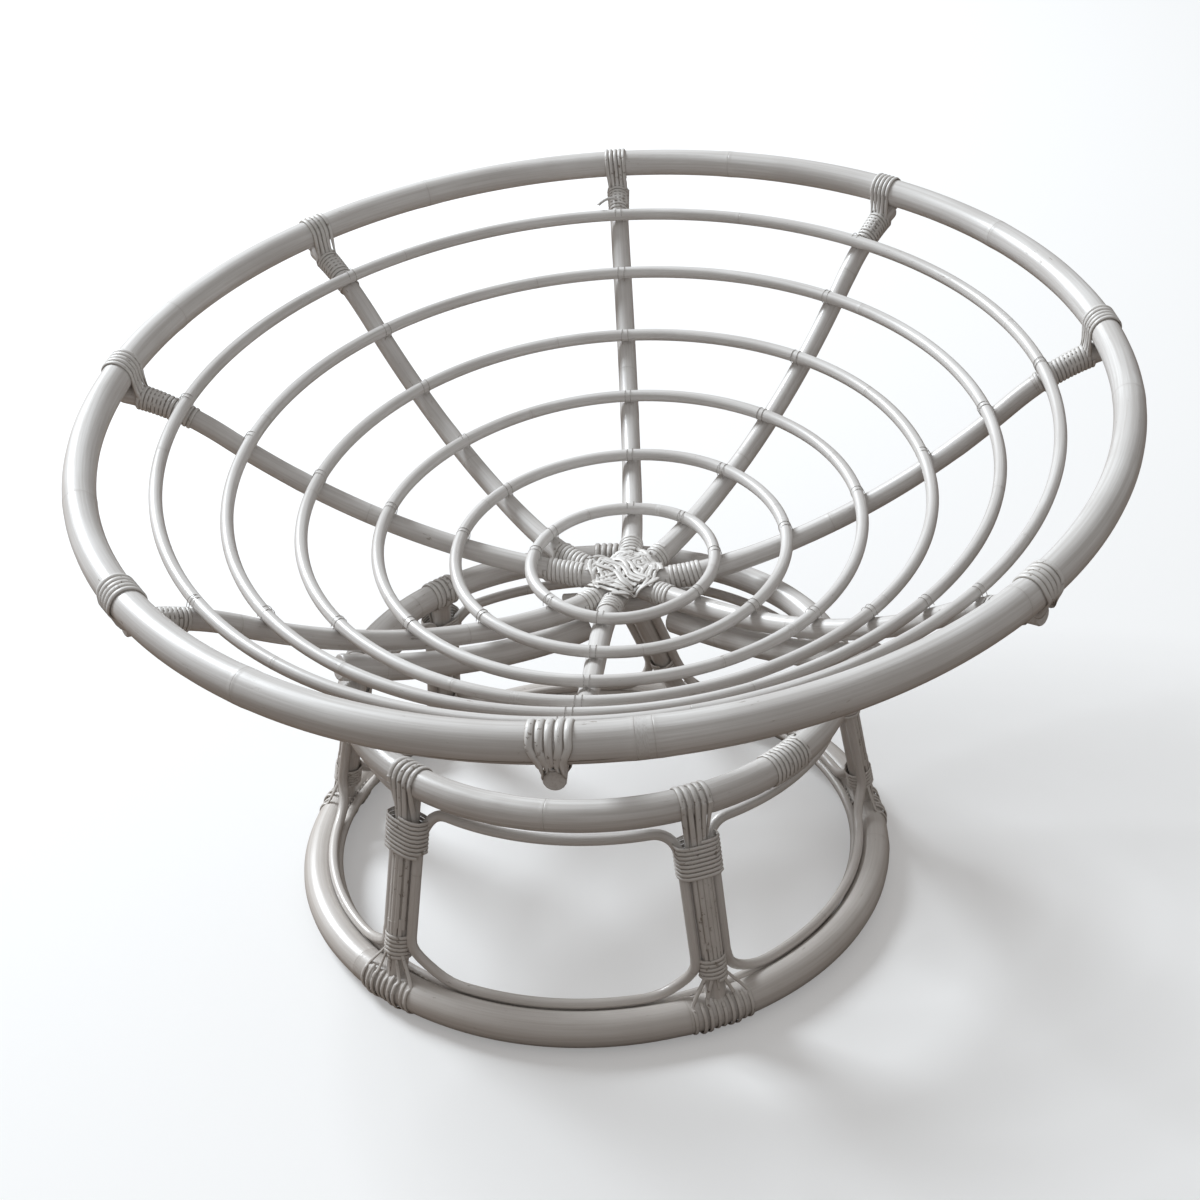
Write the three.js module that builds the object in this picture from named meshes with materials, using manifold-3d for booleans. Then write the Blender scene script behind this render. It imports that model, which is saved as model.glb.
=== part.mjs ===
// A papasan chair of white painted rattan: a round bowl of bent poles resting on a round stand.
// Lengths are in millimetres, +Z is up and -Y is the front, towards which the bowl leans.
// Headings are angles seen from above, clockwise from the back of the chair.

import * as THREE from 'three';
import Module from 'manifold-3d';
import { mergeVertices } from 'three/addons/utils/BufferGeometryUtils.js';

const wasm = await Module();
wasm.setup();

// Sizes of the bowl
const BALL_RADIUS = 730.4;
const RIM_RADIUS = 532.5;
const RIM_BUTT = 36;
const RIM_TIP = 30;
const RIB_POLE = 27;
const RIB_STUB = 20;
const HOOP_ROD = 15;
const HUB_POLE = 28;
const HUB_CROSSPIECE = 146;
const BRACE_START = 74;
const BRACE_END = 334;
const BRACE_ROOM = 0.6;
const HUB_BEND = 45;
const HUB_START = 57;

// Where the bowl's ball centre stands over the floor ring's middle
const BALL_HEIGHT = 960.8;
const BALL_BACK = 94;
const BALL_ASIDE = -33.8;

// Sizes of the stand
const FLOOR_RING_RADIUS = 311;
const FLOOR_BUTT = 38;
const FLOOR_TIP = 31;
const TOP_RING_RADIUS = 255.5;
const TOP_BUTT = 32;
const TOP_TIP = 27;
const RING_SPACING = 224;
const TOP_RING_BACK = 2;
const TOP_RING_ASIDE = 12.4;
const LINER_ROD = 10;
const POST_POLE = 25;
const LOOP_ROD = 11;
const LOOP_FOOT_CORNER = 50;
const LOOP_HEAD_CORNER = 26;
const LOOP_ROOM = 0.35;

// Sizes of the lashings: flat strands of cane
const CANE_WIDTH = 6.8;
const CANE_THICKNESS = 2.1;
const CANE_SPACE = 1.2;
const CANE_TAIL = 4;
const CANE_ROOM = 0.6;
const GAP_STEP = 1.5;
const TOP_LEG = 60;
const FOOT_LEG = 46;

// Room between pieces that touch, depth of the flats underneath, overrun of cutters
const CLEARANCE = 0.3;
const FOOT_FLAT = 0.5;
const OVERRUN = 40;

// Angles, in degrees
const BOWL_TILT = 5.7;
const TOP_RING_LEAN = -1.6;
const TOP_RING_ROLL = -1;
const HOOP_ANGLES = [8.2, 14.8, 21.7, 28.3, 34.8, 41.1];
const LEAVE_ANGLE = 36.5;
const STUB_ANGLE = 4.5;
const RIB_HEADINGS = [-25.9, 10.7, 52.3, 106.8, 155.9, 213.9, 257.5, 298.4];
const LINER_ANGLE = 18;
const LOOP_FOOT_ANGLE = 44;
const LOOP_HEAD_ANGLE = 60;
const POSTS = [
  { foot: -8, head: -23.5 },
  { foot: 54.5, head: 57 },
  { foot: 130, head: 132.5 },
  { foot: 196, head: 198.5 },
  { foot: 262.5, head: 254 },
  { foot: 296.5, head: 290 },
];

// How far each rib runs beside the hub, as shares of its pole, and each hoop's centre from the
// bowl's axis, as shares of its rod
const RIB_SHIFT_SHARES = [0.37, 0.35, 0.73, -0.29, 0.99, -0.73, 0.13, -1.3];
const HOOP_SHIFT_SHARES = [
  [-0.01, -0.04], [-0.06, 0.03], [0.08, 0.02], [0.03, 0.05], [0.03, 0.01], [-0.05, -0.01],
];

// Where a lashing's strands cross the pole, as shares of the strands' spacing
const SADDLE_SHARES = [-2, -1, 0, 1, 2];
const FAN_SPREAD_SHARE = 1.25;
// The share of a loop's height from which it leans in to its seats
const LOOP_LEAN_SHARE = 0.55;

// Where the rings' poles are thickest
const BUTT_HEADING = 151;

// Turns of the windings, and how finely curves are divided
const COLLAR_TURNS = 3;
const HUB_TURNS = 3;
const HUB_STEP_SHARE = 1.2;
const WAIST_TURNS = 2;
const CORNER_STEPS = 3;
const BRACE_STEPS = 8;
const FLOOR_STEPS = 44;
const TOP_STEPS = 36;
const LOOP_STEP = 40;

const paint = new THREE.MeshStandardMaterial({ color: 0xdddbd6, roughness: 0.42, metalness: 0 });
const canePaint = new THREE.MeshStandardMaterial({ color: 0xe4e2dd, roughness: 0.5, metalness: 0 });

const UP = new THREE.Vector3(0, 0, 1);
const radians = (angle) => THREE.MathUtils.degToRad(angle);
const mix = THREE.MathUtils.lerp;
const heading = (angle) => new THREE.Vector3(Math.sin(angle), Math.cos(angle), 0);
const across = (angle) => new THREE.Vector3(Math.cos(angle), -Math.sin(angle), 0);
const turn = (vectorA, vectorB, angle) =>
  vectorA.clone().multiplyScalar(Math.cos(angle)).addScaledVector(vectorB, Math.sin(angle));
const between = (vectorA, vectorB, share) => vectorA.clone().lerp(vectorB, share);
const pitch = CANE_WIDTH + CANE_SPACE;
const caneSeat = CLEARANCE + CANE_THICKNESS / 2;

// A section of flat sides with a corner straight up, so that poles touch at their corners
function round(sides) {
  const corners = [];
  for (let i = 0; i < sides; i += 1) {
    const angle = (2 * Math.PI * i) / sides;
    corners.push([Math.cos(angle), Math.sin(angle)]);
  }
  return corners;
}

const poleSection = round(8);
const stoutSection = round(10);
const rodSection = round(6);
const caneSection = [[1, -1], [1, 1], [-1, 1], [-1, -1]];

// The direction of a path at one of its stations
function ahead(stations, i, closed) {
  const count = stations.length;
  const here = stations[i].at;
  const last = stations[closed ? (i + count - 1) % count : Math.max(i - 1, 0)].at;
  const next = stations[closed ? (i + 1) % count : Math.min(i + 1, count - 1)].at;
  const incoming = here.clone().sub(last).normalize();
  const outgoing = next.clone().sub(here).normalize();
  return incoming.add(outgoing).normalize();
}

// Sweeps a section along stations, each with a place, the section's up direction and its half
// sizes along up and across it
function sweep(stations, section, closed = false) {
  const positions = [];
  stations.forEach((station, i) => {
    const forward = ahead(stations, i, closed);
    const up = station.up.clone();
    if (!station.flat) up.addScaledVector(forward, -up.dot(forward)).normalize();
    const side = forward.clone().cross(up).normalize();
    for (const [u, v] of section) {
      const corner = station.at.clone();
      corner.addScaledVector(up, u * station.high).addScaledVector(side, v * station.wide);
      positions.push(...corner);
    }
  });
  const faces = [];
  const count = stations.length;
  const sides = section.length;
  const spans = closed ? count : count - 1;
  for (let i = 0; i < spans; i += 1) {
    const row = i * sides;
    const nextRow = ((i + 1) % count) * sides;
    for (let j = 0; j < sides; j += 1) {
      const k = (j + 1) % sides;
      faces.push(row + j, row + k, nextRow + k);
      faces.push(row + j, nextRow + k, nextRow + j);
    }
  }
  if (!closed) {
    const end = (count - 1) * sides;
    for (let j = 1; j < sides - 1; j += 1) {
      faces.push(0, j + 1, j);
      faces.push(end, end + j, end + j + 1);
    }
  }
  const geometry = new THREE.BufferGeometry();
  geometry.setAttribute('position', new THREE.Float32BufferAttribute(positions, 3));
  geometry.setIndex(faces);
  geometry.computeVertexNormals();
  return geometry;
}

const station = (at, up, radius) => ({ at, up, high: radius, wide: radius });
const strand = (at, out) =>
  ({ at, up: out, high: CANE_THICKNESS / 2, wide: CANE_WIDTH / 2, flat: true });

// A cut pole's end is slightly rounded over
function roundEnds(stations, radius) {
  const first = stations[0];
  const last = stations[stations.length - 1];
  const setBack = radius / 4;
  const start = first.at.clone().addScaledVector(ahead(stations, 0, false), setBack);
  const stop = last.at.clone().addScaledVector(ahead(stations, stations.length - 1, false), -setBack);
  const narrow = radius - setBack;
  return [
    station(first.at, first.up, narrow),
    station(start, first.up, radius),
    ...stations.slice(1, -1),
    station(stop, last.up, radius),
    station(last.at, last.up, narrow),
  ];
}

function toSolid(geometry) {
  const bare = geometry.clone();
  bare.deleteAttribute('normal');
  bare.deleteAttribute('uv');
  const merged = mergeVertices(bare);
  const vertProperties = new Float32Array(merged.attributes.position.array);
  const triVerts = new Uint32Array(merged.index.array);
  return new wasm.Manifold(new wasm.Mesh({ numProp: 3, vertProperties, triVerts }));
}

function toGeometry(solid) {
  const mesh = solid.getMesh();
  const geometry = new THREE.BufferGeometry();
  geometry.setAttribute('position', new THREE.Float32BufferAttribute(mesh.vertProperties, 3));
  geometry.setIndex(Array.from(mesh.triVerts));
  geometry.computeVertexNormals();
  return geometry;
}

function add(group, name, geometry, material = paint) {
  const mesh = new THREE.Mesh(geometry, material);
  mesh.name = name;
  group.add(mesh);
}

// The bowl's frame has its origin at the ball's centre and +Z along the bowl's axis. The ribs
// follow the ball, then ease out of it to pass under the rim.
const leave = radians(LEAVE_ANGLE);
const leaveRadius = BALL_RADIUS * Math.sin(leave);
const endRadius = RIM_RADIUS + RIB_STUB;
const easing = (Math.tan(radians(STUB_ANGLE)) - Math.tan(leave)) / (endRadius - leaveRadius);

function ribSlope(r) {
  if (r <= leaveRadius) return r / Math.sqrt(BALL_RADIUS * BALL_RADIUS - r * r);
  return Math.tan(leave) + easing * (r - leaveRadius);
}

function ribHeight(r) {
  if (r <= leaveRadius) return -Math.sqrt(BALL_RADIUS * BALL_RADIUS - r * r);
  const run = r - leaveRadius;
  return -BALL_RADIUS * Math.cos(leave) + run * Math.tan(leave) + (easing * run * run) / 2;
}

// The place of a rod that lies on the ribs: its centre is lift away from the ribs' centre lines
function seatOnRibs(r, lift) {
  let foot = r;
  for (let i = 0; i < 12; i += 1) foot = r + lift * Math.sin(Math.atan(ribSlope(foot)));
  const slope = Math.atan(ribSlope(foot));
  return { foot, slope, z: ribHeight(foot) + lift * Math.cos(slope) };
}

const inward = (plan, slope) =>
  plan.clone().normalize().multiplyScalar(-Math.sin(slope)).addScaledVector(UP, Math.cos(slope));

const ribs = RIB_HEADINGS.map((angle, i) => ({
  turn: radians(angle),
  shift: RIB_SHIFT_SHARES[i] * RIB_POLE,
}));

// A rib seen from above: a straight run that bends in to the hub
function ribPlan(rib, s) {
  const aside = (rib.shift * s * s) / (s * s + HUB_BEND * HUB_BEND);
  return heading(rib.turn).multiplyScalar(s).addScaledVector(across(rib.turn), aside);
}

// How far along a rib it meets a circle seen from above
function meet(rib, centre, radius) {
  let s = radius;
  for (let i = 0; i < 12; i += 1) s += radius - ribPlan(rib, s).sub(centre).length();
  return s;
}

// The radius of a tapered pole bent to a ring, from its butt to its tip and back
function taper(butt, tip, buttHeading, angle) {
  return (butt + tip) / 4 + ((butt - tip) / 4) * Math.cos(angle - radians(buttHeading));
}

const rimPoleRadius = (angle) => taper(RIM_BUTT, RIM_TIP, BUTT_HEADING, angle);
const hoopRadius = (angle) => BALL_RADIUS * Math.sin(radians(angle))
  - (RIB_POLE / 2 + HOOP_ROD / 2) * Math.sin(radians(angle));

const hoops = HOOP_ANGLES.map((angle, i) => ({
  radius: hoopRadius(angle),
  centre: new THREE.Vector3(...HOOP_SHIFT_SHARES[i], 0).multiplyScalar(HOOP_ROD),
  rod: () => HOOP_ROD / 2,
  steps: 2 + Math.floor(i / 2),
}));
const rim = { radius: RIM_RADIUS, centre: new THREE.Vector3(), rod: rimPoleRadius, steps: 5 };

// A ring that lies on the ribs, with a station where it crosses each of them
function ringStations(ring) {
  const crossings = ribs.map((rib) => {
    const plan = ribPlan(rib, meet(rib, ring.centre, ring.radius)).sub(ring.centre);
    return Math.atan2(plan.x, plan.y);
  });
  crossings.sort((a, b) => a - b);
  const stations = [];
  crossings.forEach((angle, i) => {
    const next = i + 1 < crossings.length ? crossings[i + 1] : crossings[0] + 2 * Math.PI;
    for (let j = 0; j < ring.steps; j += 1) {
      const here = mix(angle, next, j / ring.steps);
      const plan = heading(here).multiplyScalar(ring.radius).add(ring.centre);
      const radius = ring.rod(here);
      const seat = seatOnRibs(plan.length(), RIB_POLE / 2 + radius + CLEARANCE);
      stations.push(station(plan.clone().setZ(seat.z), inward(plan, seat.slope), radius));
    }
  });
  return stations;
}

// A rib has a station under each hoop, under the rim, and one between each two
function ribStops(rib) {
  const stops = hoops.map((hoop) => {
    const s = meet(rib, hoop.centre, hoop.radius);
    const r = ribPlan(rib, s).length();
    return s + seatOnRibs(r, RIB_POLE / 2 + HOOP_ROD / 2 + CLEARANCE).foot - r;
  });
  const rimSeat = seatOnRibs(RIM_RADIUS, RIB_POLE / 2 + rimPoleRadius(rib.turn) + CLEARANCE);
  stops.push(meet(rib, rim.centre, rimSeat.foot));
  const all = [0];
  for (const stop of stops) all.push((all[all.length - 1] + stop) / 2, stop);
  all.push(meet(rib, rim.centre, endRadius));
  return all;
}

function ribStation(rib, s) {
  const plan = ribPlan(rib, s);
  const r = plan.length();
  const up = r > 0 ? inward(plan, Math.atan(ribSlope(r))) : UP.clone();
  return { ...station(plan.clone().setZ(ribHeight(r)), up, RIB_POLE / 2), s };
}

// The share of the hub that a rib's end fills, between the halfway lines to its neighbours
function hubWedge(i) {
  const count = ribs.length;
  const own = ribs[i].turn;
  const full = 2 * Math.PI;
  const toLast = (((own - ribs[(i + count - 1) % count].turn) % full) + full) % full;
  const toNext = (((ribs[(i + 1) % count].turn - own) % full) + full) % full;
  const from = own - toLast / 2;
  const to = own + toNext / 2;
  const middle = (from + to) / 2;
  const apex = heading(middle).multiplyScalar(CLEARANCE / 2 / Math.sin((to - from) / 2));
  const reach = 2 * RIM_RADIUS;
  const left = heading(from).multiplyScalar(reach).add(apex);
  const right = heading(to).multiplyScalar(reach).add(apex);
  const outline = [right, left, apex].map((point) => new THREE.Vector2(point.x, point.y));
  const depth = 2 * BALL_RADIUS;
  const wedge = new THREE.ExtrudeGeometry(new THREE.Shape(outline), { depth, bevelEnabled: false });
  return wedge.translate(0, 0, -depth);
}

const ribPaths = ribs.map((rib) => ribStops(rib).map((s) => ribStation(rib, s)));

function makeRib(i) {
  const pole = sweep(roundEnds(ribPaths[i], RIB_POLE / 2), poleSection);
  return toGeometry(toSolid(pole).intersect(toSolid(hubWedge(i))));
}

// The hub's straight poles lie below the ribs' ends: the crosspiece, then the two braces
const crossTurn = (ribs[2].turn + ribs[6].turn - Math.PI) / 2;
const crossLevel = -(BALL_RADIUS + RIB_POLE / 2 + HUB_POLE / 2 + CLEARANCE);

function straightPole(from, to, diameter) {
  const ends = [station(from, UP, diameter / 2), station(to, UP, diameter / 2)];
  return sweep(roundEnds(ends, diameter / 2), poleSection);
}

function makeCrosspiece() {
  const half = heading(crossTurn).multiplyScalar(HUB_CROSSPIECE / 2);
  const middle = new THREE.Vector3(0, 0, crossLevel);
  return straightPole(middle.clone().sub(half), middle.clone().add(half), HUB_POLE);
}

// A brace lies under its rib and carries it on the top ring
function makeBrace(rib) {
  const stations = [];
  for (let i = 0; i <= BRACE_STEPS; i += 1) {
    const over = ribStation(rib, mix(BRACE_START, BRACE_END, i / BRACE_STEPS));
    const drop = RIB_POLE / 2 + HUB_POLE / 2 + CLEARANCE + BRACE_ROOM;
    stations.push(station(over.at.addScaledVector(over.up, -drop), over.up, HUB_POLE / 2));
  }
  return sweep(roundEnds(stations, HUB_POLE / 2), poleSection);
}

// A point of a rib's own flat-sided run, so that what is wound on it keeps its distance
function alongRib(path, s) {
  let i = 0;
  while (i < path.length - 2 && path[i + 1].s < s) i += 1;
  const share = (s - path[i].s) / (path[i + 1].s - path[i].s);
  const forward = path[i + 1].at.clone().sub(path[i].at).normalize();
  const up = between(path[i].up, path[i + 1].up, share);
  up.addScaledVector(forward, -up.dot(forward)).normalize();
  return { at: between(path[i].at, path[i + 1].at, share), up, side: forward.clone().cross(up) };
}

// Cane wound along a rib, starting beside it
function collar(path, start, turns, step, lift) {
  const stations = [];
  for (let i = 0; i <= turns * 8; i += 1) {
    const angle = Math.PI / 2 + (Math.PI * i) / 4;
    const here = alongRib(path, start + (step * i) / 8);
    const out = turn(here.up, here.side, angle);
    const reach = RIB_POLE / 2 + caneSeat + CANE_ROOM / 2 + (i ? 0 : lift);
    stations.push(strand(here.at.clone().addScaledVector(out, reach), out));
  }
  return stations;
}

// Points all round a strand, close together, with their distance along it
function surfacePoints(stations) {
  const rows = [];
  let length = 0;
  for (let i = 0; i + 1 < stations.length; i += 1) {
    const forward = stations[i + 1].at.clone().sub(stations[i].at);
    const parts = Math.ceil(forward.length() / GAP_STEP);
    for (let j = 0; j < parts; j += 1) {
      const at = between(stations[i].at, stations[i + 1].at, j / parts);
      const up = between(stations[i].up, stations[i + 1].up, j / parts).normalize();
      const side = forward.clone().normalize().cross(up).normalize();
      const points = [];
      for (const [high, wide] of [[1, -1], [1, 0], [1, 1], [-1, -1], [-1, 0], [-1, 1]]) {
        const point = at.clone().addScaledVector(up, (high * CANE_THICKNESS) / 2);
        points.push(point.addScaledVector(side, (wide * CANE_WIDTH) / 2));
      }
      rows.push({ length: length + (forward.length() * j) / parts, at, points });
    }
    length += forward.length();
  }
  return rows;
}

// The least gap between two turns of one strand
function leastGap(stations) {
  const rows = surfacePoints(stations);
  let least = Infinity;
  rows.forEach((one, i) => {
    for (let j = i + 1; j < rows.length; j += 1) {
      const other = rows[j];
      const apart = one.at.distanceTo(other.at);
      if (other.length - one.length < 2 * CANE_WIDTH || apart > 2 * CANE_WIDTH) continue;
      for (const a of one.points) for (const b of other.points) least = Math.min(least, a.distanceTo(b));
    }
  });
  return least;
}

const gaps = {};

function wound(kind, stations) {
  gaps[kind] = Math.min(gaps[kind] ?? Infinity, leastGap(stations));
  return sweep(stations, caneSection);
}

// One pass of a strand over a pole: steps many to a half turn, from the pole's outward side. At an
// end where the strand turns back it first runs straight on, clear of the pole's next side.
function arcOver(here, outward, first, count, steps, tailFirst, tailLast) {
  const reach = here.high + caneSeat + CANE_ROOM;
  const place = (k, onward) => {
    const angle = (Math.PI * k) / steps;
    const out = turn(outward, here.up, angle);
    const along = turn(outward, here.up, angle + Math.PI / 2);
    return strand(here.at.clone().addScaledVector(out, reach).addScaledVector(along, onward), out);
  };
  const stations = [];
  if (tailFirst) stations.push(place(first, -CANE_TAIL));
  for (let i = 0; i <= count; i += 1) stations.push(place(first + i, 0));
  if (tailLast) stations.push(place(first + count, CANE_TAIL));
  return stations;
}

// Strands side by side over a bent pole, drawn as one serpentine strand. route(share) gives the
// stations of one pass from its share of the width, and every other pass runs backwards.
function serpentine(route) {
  const stations = [];
  SADDLE_SHARES.forEach((share, i) => {
    const pass = route(share);
    stations.push(...(i % 2 ? pass.reverse() : pass));
  });
  return stations;
}

// A point of a ring's flat-sided run, x along it from one of its stations
function alongRing(stations, index, x) {
  const count = stations.length;
  const here = stations[index];
  const next = stations[(index + count + (x < 0 ? -1 : 1)) % count];
  const share = Math.abs(x) / here.at.distanceTo(next.at);
  return {
    at: between(here.at, next.at, share),
    up: between(here.up, next.up, share).normalize(),
    high: mix(here.high, next.high, share),
  };
}

const nearest = (stations, at) => {
  let best = 0;
  stations.forEach((one, i) => {
    if (one.at.distanceTo(at) < stations[best].at.distanceTo(at)) best = i;
  });
  return best;
};

const rimStations = ringStations(rim);

function makeRimLashing(i) {
  const rib = ribs[i];
  const crossing = ribStation(rib, meet(rib, rim.centre, RIM_RADIUS));
  const index = nearest(rimStations, crossing.at);
  const saddle = serpentine((share) => {
    const here = alongRing(rimStations, index, share * pitch);
    const outward = new THREE.Vector3(here.at.x, here.at.y, 0).normalize();
    outward.addScaledVector(here.up, -outward.dot(here.up)).normalize();
    return arcOver(here, outward, 0, 4, 4, true, true);
  });
  const path = ribPaths[i];
  const step = pitch * Math.cos(Math.atan(ribSlope(RIM_RADIUS)));
  const start = path[path.length - 2].s - rimStations[index].high - CANE_THICKNESS - step;
  const winding = collar(path, start, COLLAR_TURNS, -step, CANE_WIDTH / 2);
  return wound('rim lashing', [...saddle, ...winding]);
}

// The winding of a rib's inner end
const makeHubLashing = (i) =>
  wound('hub lashing', collar(ribPaths[i], HUB_START, HUB_TURNS, pitch * HUB_STEP_SHARE, 0));

// The stand's rings have a station at each post
function standRing(radius, poleRadius, place, steps, key) {
  const stations = [];
  POSTS.forEach((post, i) => {
    const from = radians(post[key]);
    const last = i + 1 === POSTS.length;
    const to = radians(POSTS[(i + 1) % POSTS.length][key]) + (last ? 2 * Math.PI : 0);
    const parts = Math.max(2, Math.round((steps * (to - from)) / (2 * Math.PI)));
    for (let j = 0; j < parts; j += 1) {
      const angle = mix(from, to, j / parts);
      stations.push(place(angle, poleRadius(angle), radius));
    }
  });
  return stations;
}

const floorPole = (angle) => taper(FLOOR_BUTT, FLOOR_TIP, BUTT_HEADING, angle);
const topPole = (angle) => taper(TOP_BUTT, TOP_TIP, BUTT_HEADING, angle);
const sag = (radius, steps) => radius * (1 - Math.cos(Math.PI / steps));

// The floor ring lies flat, held off the floor by the strands wound round it
const floorUnder = CANE_THICKNESS + CLEARANCE + CANE_ROOM - FOOT_FLAT;
const floorLevel = (angle) => floorUnder + floorPole(angle);
const floorMiddle = floorUnder + (FLOOR_BUTT + FLOOR_TIP) / 4;
const ball = new THREE.Vector3(BALL_ASIDE, BALL_BACK, floorMiddle + BALL_HEIGHT);
const topCentre = new THREE.Vector3(TOP_RING_ASIDE, TOP_RING_BACK, floorMiddle + RING_SPACING);
const topLean = new THREE.Euler(radians(TOP_RING_LEAN), radians(TOP_RING_ROLL), 0, 'YXZ');

const onTopRing = (angle) =>
  heading(angle).multiplyScalar(TOP_RING_RADIUS).applyEuler(topLean).add(topCentre);

const placeFloor = (angle, poleRadius, radius) =>
  station(heading(angle).multiplyScalar(radius).setZ(floorLevel(angle)), UP.clone(), poleRadius);

const placeTop = (angle, poleRadius) => {
  const at = onTopRing(angle);
  return station(at, ball.clone().sub(at).normalize(), poleRadius);
};

const floorStations = standRing(FLOOR_RING_RADIUS, floorPole, placeFloor, FLOOR_STEPS, 'foot');
const topStations = standRing(TOP_RING_RADIUS, topPole, placeTop, TOP_STEPS, 'head');

// The liner is a thin rod sprung into the floor ring
const makeLiner = () => sweep(linerStations(), rodSection, true);

const onFloorRing = (angle) => heading(angle).multiplyScalar(FLOOR_RING_RADIUS).setZ(floorLevel(angle));

function linerStations() {
  const tilt = radians(LINER_ANGLE);
  return floorStations.map((one) => {
    const inwards = new THREE.Vector3(-one.at.x, -one.at.y, 0).normalize();
    const away = turn(inwards, UP, tilt);
    const reach = one.high + LINER_ROD / 2 + CLEARANCE;
    return station(one.at.clone().addScaledVector(away, reach), away, LINER_ROD / 2);
  });
}

const grow = (stations, by) =>
  stations.map((one) => ({ ...one, high: one.high + by, wide: one.wide + by }));
const floorCutter = toSolid(sweep(grow(floorStations, CLEARANCE), stoutSection, true));
const linerCutter = toSolid(sweep(grow(linerStations(), CLEARANCE), rodSection, true));
const topCutter = toSolid(sweep(grow(topStations, CLEARANCE), poleSection, true));

// A post with its ends hollowed to sit on the rings
function makePost(post) {
  const foot = onFloorRing(radians(post.foot));
  const head = onTopRing(radians(post.head));
  const side = across(radians((post.foot + post.head) / 2));
  const ends = [station(foot, side, POST_POLE / 2), station(head, side, POST_POLE / 2)];
  const pole = toSolid(sweep(ends, poleSection));
  const pieces = pole.subtract(floorCutter).subtract(linerCutter).subtract(topCutter).decompose();
  pieces.sort((a, b) => b.volume() - a.volume());
  return toGeometry(pieces[0]);
}

// The frame of a post's axis at a share of its height
function postFrame(post, share) {
  const foot = onFloorRing(radians(post.foot));
  const head = onTopRing(radians(post.head));
  const at = between(foot, head, share);
  const along = head.clone().sub(foot);
  const height = along.length();
  along.normalize();
  const outward = new THREE.Vector3(at.x, at.y, 0).normalize();
  outward.addScaledVector(along, -outward.dot(along)).normalize();
  return { at, along, outward, side: along.clone().cross(outward), height };
}

// The point of the top ring that lies over a heading from the floor ring's middle
function topAbove(angle) {
  let turned = angle;
  for (let i = 0; i < 8; i += 1) {
    const at = onTopRing(turned);
    const off = Math.atan2(at.x, at.y) - angle;
    turned -= Math.atan2(Math.sin(off), Math.cos(off));
  }
  return onTopRing(turned);
}

// A loop's centre line in its panel: u runs from one post to the next, v from foot to head.
// It lies on the floor ring and its liner below, under the top ring above, and beside the posts.
function loopPoint(left, right, u, v) {
  const share = (v + 1) / 2;
  let place = new THREE.Vector3(0, 0, mix(floorMiddle, topCentre.z, share));
  for (let i = 0; i < 4; i += 1) {
    const angle = panelHeading(left, right, u, place.z);
    const below = loopSeat(onFloorRing(angle), floorPole(angle) + LOOP_ROOM, LOOP_FOOT_ANGLE);
    const above = loopSeat(topAbove(angle), topPole(angle) + LOOP_ROOM, -LOOP_HEAD_ANGLE);
    const seat = between(below, above, share);
    const low = onFloorRing(angle);
    const high = topAbove(angle);
    const upright = between(low, high, (seat.z - low.z) / (high.z - low.z));
    const lean = THREE.MathUtils.smoothstep(Math.abs(v), LOOP_LEAN_SHARE, 1);
    place = between(upright, seat, lean);
  }
  return place;
}

// Where a loop's rod lies against a ring, inwards of it and up or down by an angle
function loopSeat(ringPoint, room, angle) {
  const inwards = new THREE.Vector3(-ringPoint.x, -ringPoint.y, 0).normalize();
  const reach = room + LOOP_ROD / 2 + sag(FLOOR_RING_RADIUS, TOP_STEPS);
  return ringPoint.clone().addScaledVector(turn(inwards, UP, radians(angle)), reach);
}

// The heading of a place between two posts at a height, u going from one post's side to the other's
function panelHeading(left, right, u, z) {
  const flank = POST_POLE / 2 + LOOP_ROD / 2 + LOOP_ROOM;
  const sides = [left, right].map((post) => {
    const foot = onFloorRing(radians(post.foot));
    const head = onTopRing(radians(post.head));
    const at = between(foot, head, (z - foot.z) / (head.z - foot.z));
    const slant = head.clone().sub(foot).normalize().dot(across(Math.atan2(at.x, at.y)));
    const edge = Math.asin(flank / Math.sqrt(1 - slant * slant) / Math.hypot(at.x, at.y));
    return { heading: Math.atan2(at.x, at.y), edge };
  });
  if (sides[1].heading < sides[0].heading) sides[1].heading += 2 * Math.PI;
  return mix(sides[0].heading + sides[0].edge, sides[1].heading - sides[1].edge, (u + 1) / 2);
}

function makeLoop(left, right) {
  const a = postFrame(left, 1 / 2);
  const b = postFrame(right, 1 / 2);
  const wide = a.at.distanceTo(b.at) / 2 - POST_POLE / 2 - LOOP_ROD / 2;
  const high = (a.height + b.height) / 4 - (FLOOR_BUTT + TOP_BUTT) / 4;
  const outline = [];
  for (let quarter = 0; quarter < 4; quarter += 1) {
    const signU = quarter === 0 || quarter === 3 ? 1 : -1;
    const signV = quarter < 2 ? 1 : -1;
    const corner = quarter < 2 ? LOOP_HEAD_CORNER : LOOP_FOOT_CORNER;
    const cornerU = Math.min(corner / wide, 1);
    const cornerV = Math.min(corner / high, 1);
    for (let i = 0; i <= CORNER_STEPS; i += 1) {
      const angle = (Math.PI / 2) * (quarter + i / CORNER_STEPS);
      const u = signU * (1 - cornerU) + cornerU * Math.cos(angle);
      const v = signV * (1 - cornerV) + cornerV * Math.sin(angle);
      outline.push([u, v]);
    }
  }
  const places = spread(outline, wide, high).map(([u, v]) => loopPoint(left, right, u, v));
  const centre = new THREE.Vector3();
  places.forEach((place) => centre.addScaledVector(place, 1 / places.length));
  const stations = places.map((at) => station(at, at.clone().sub(centre).normalize(), LOOP_ROD / 2));
  return sweep(stations, rodSection, true);
}

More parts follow.
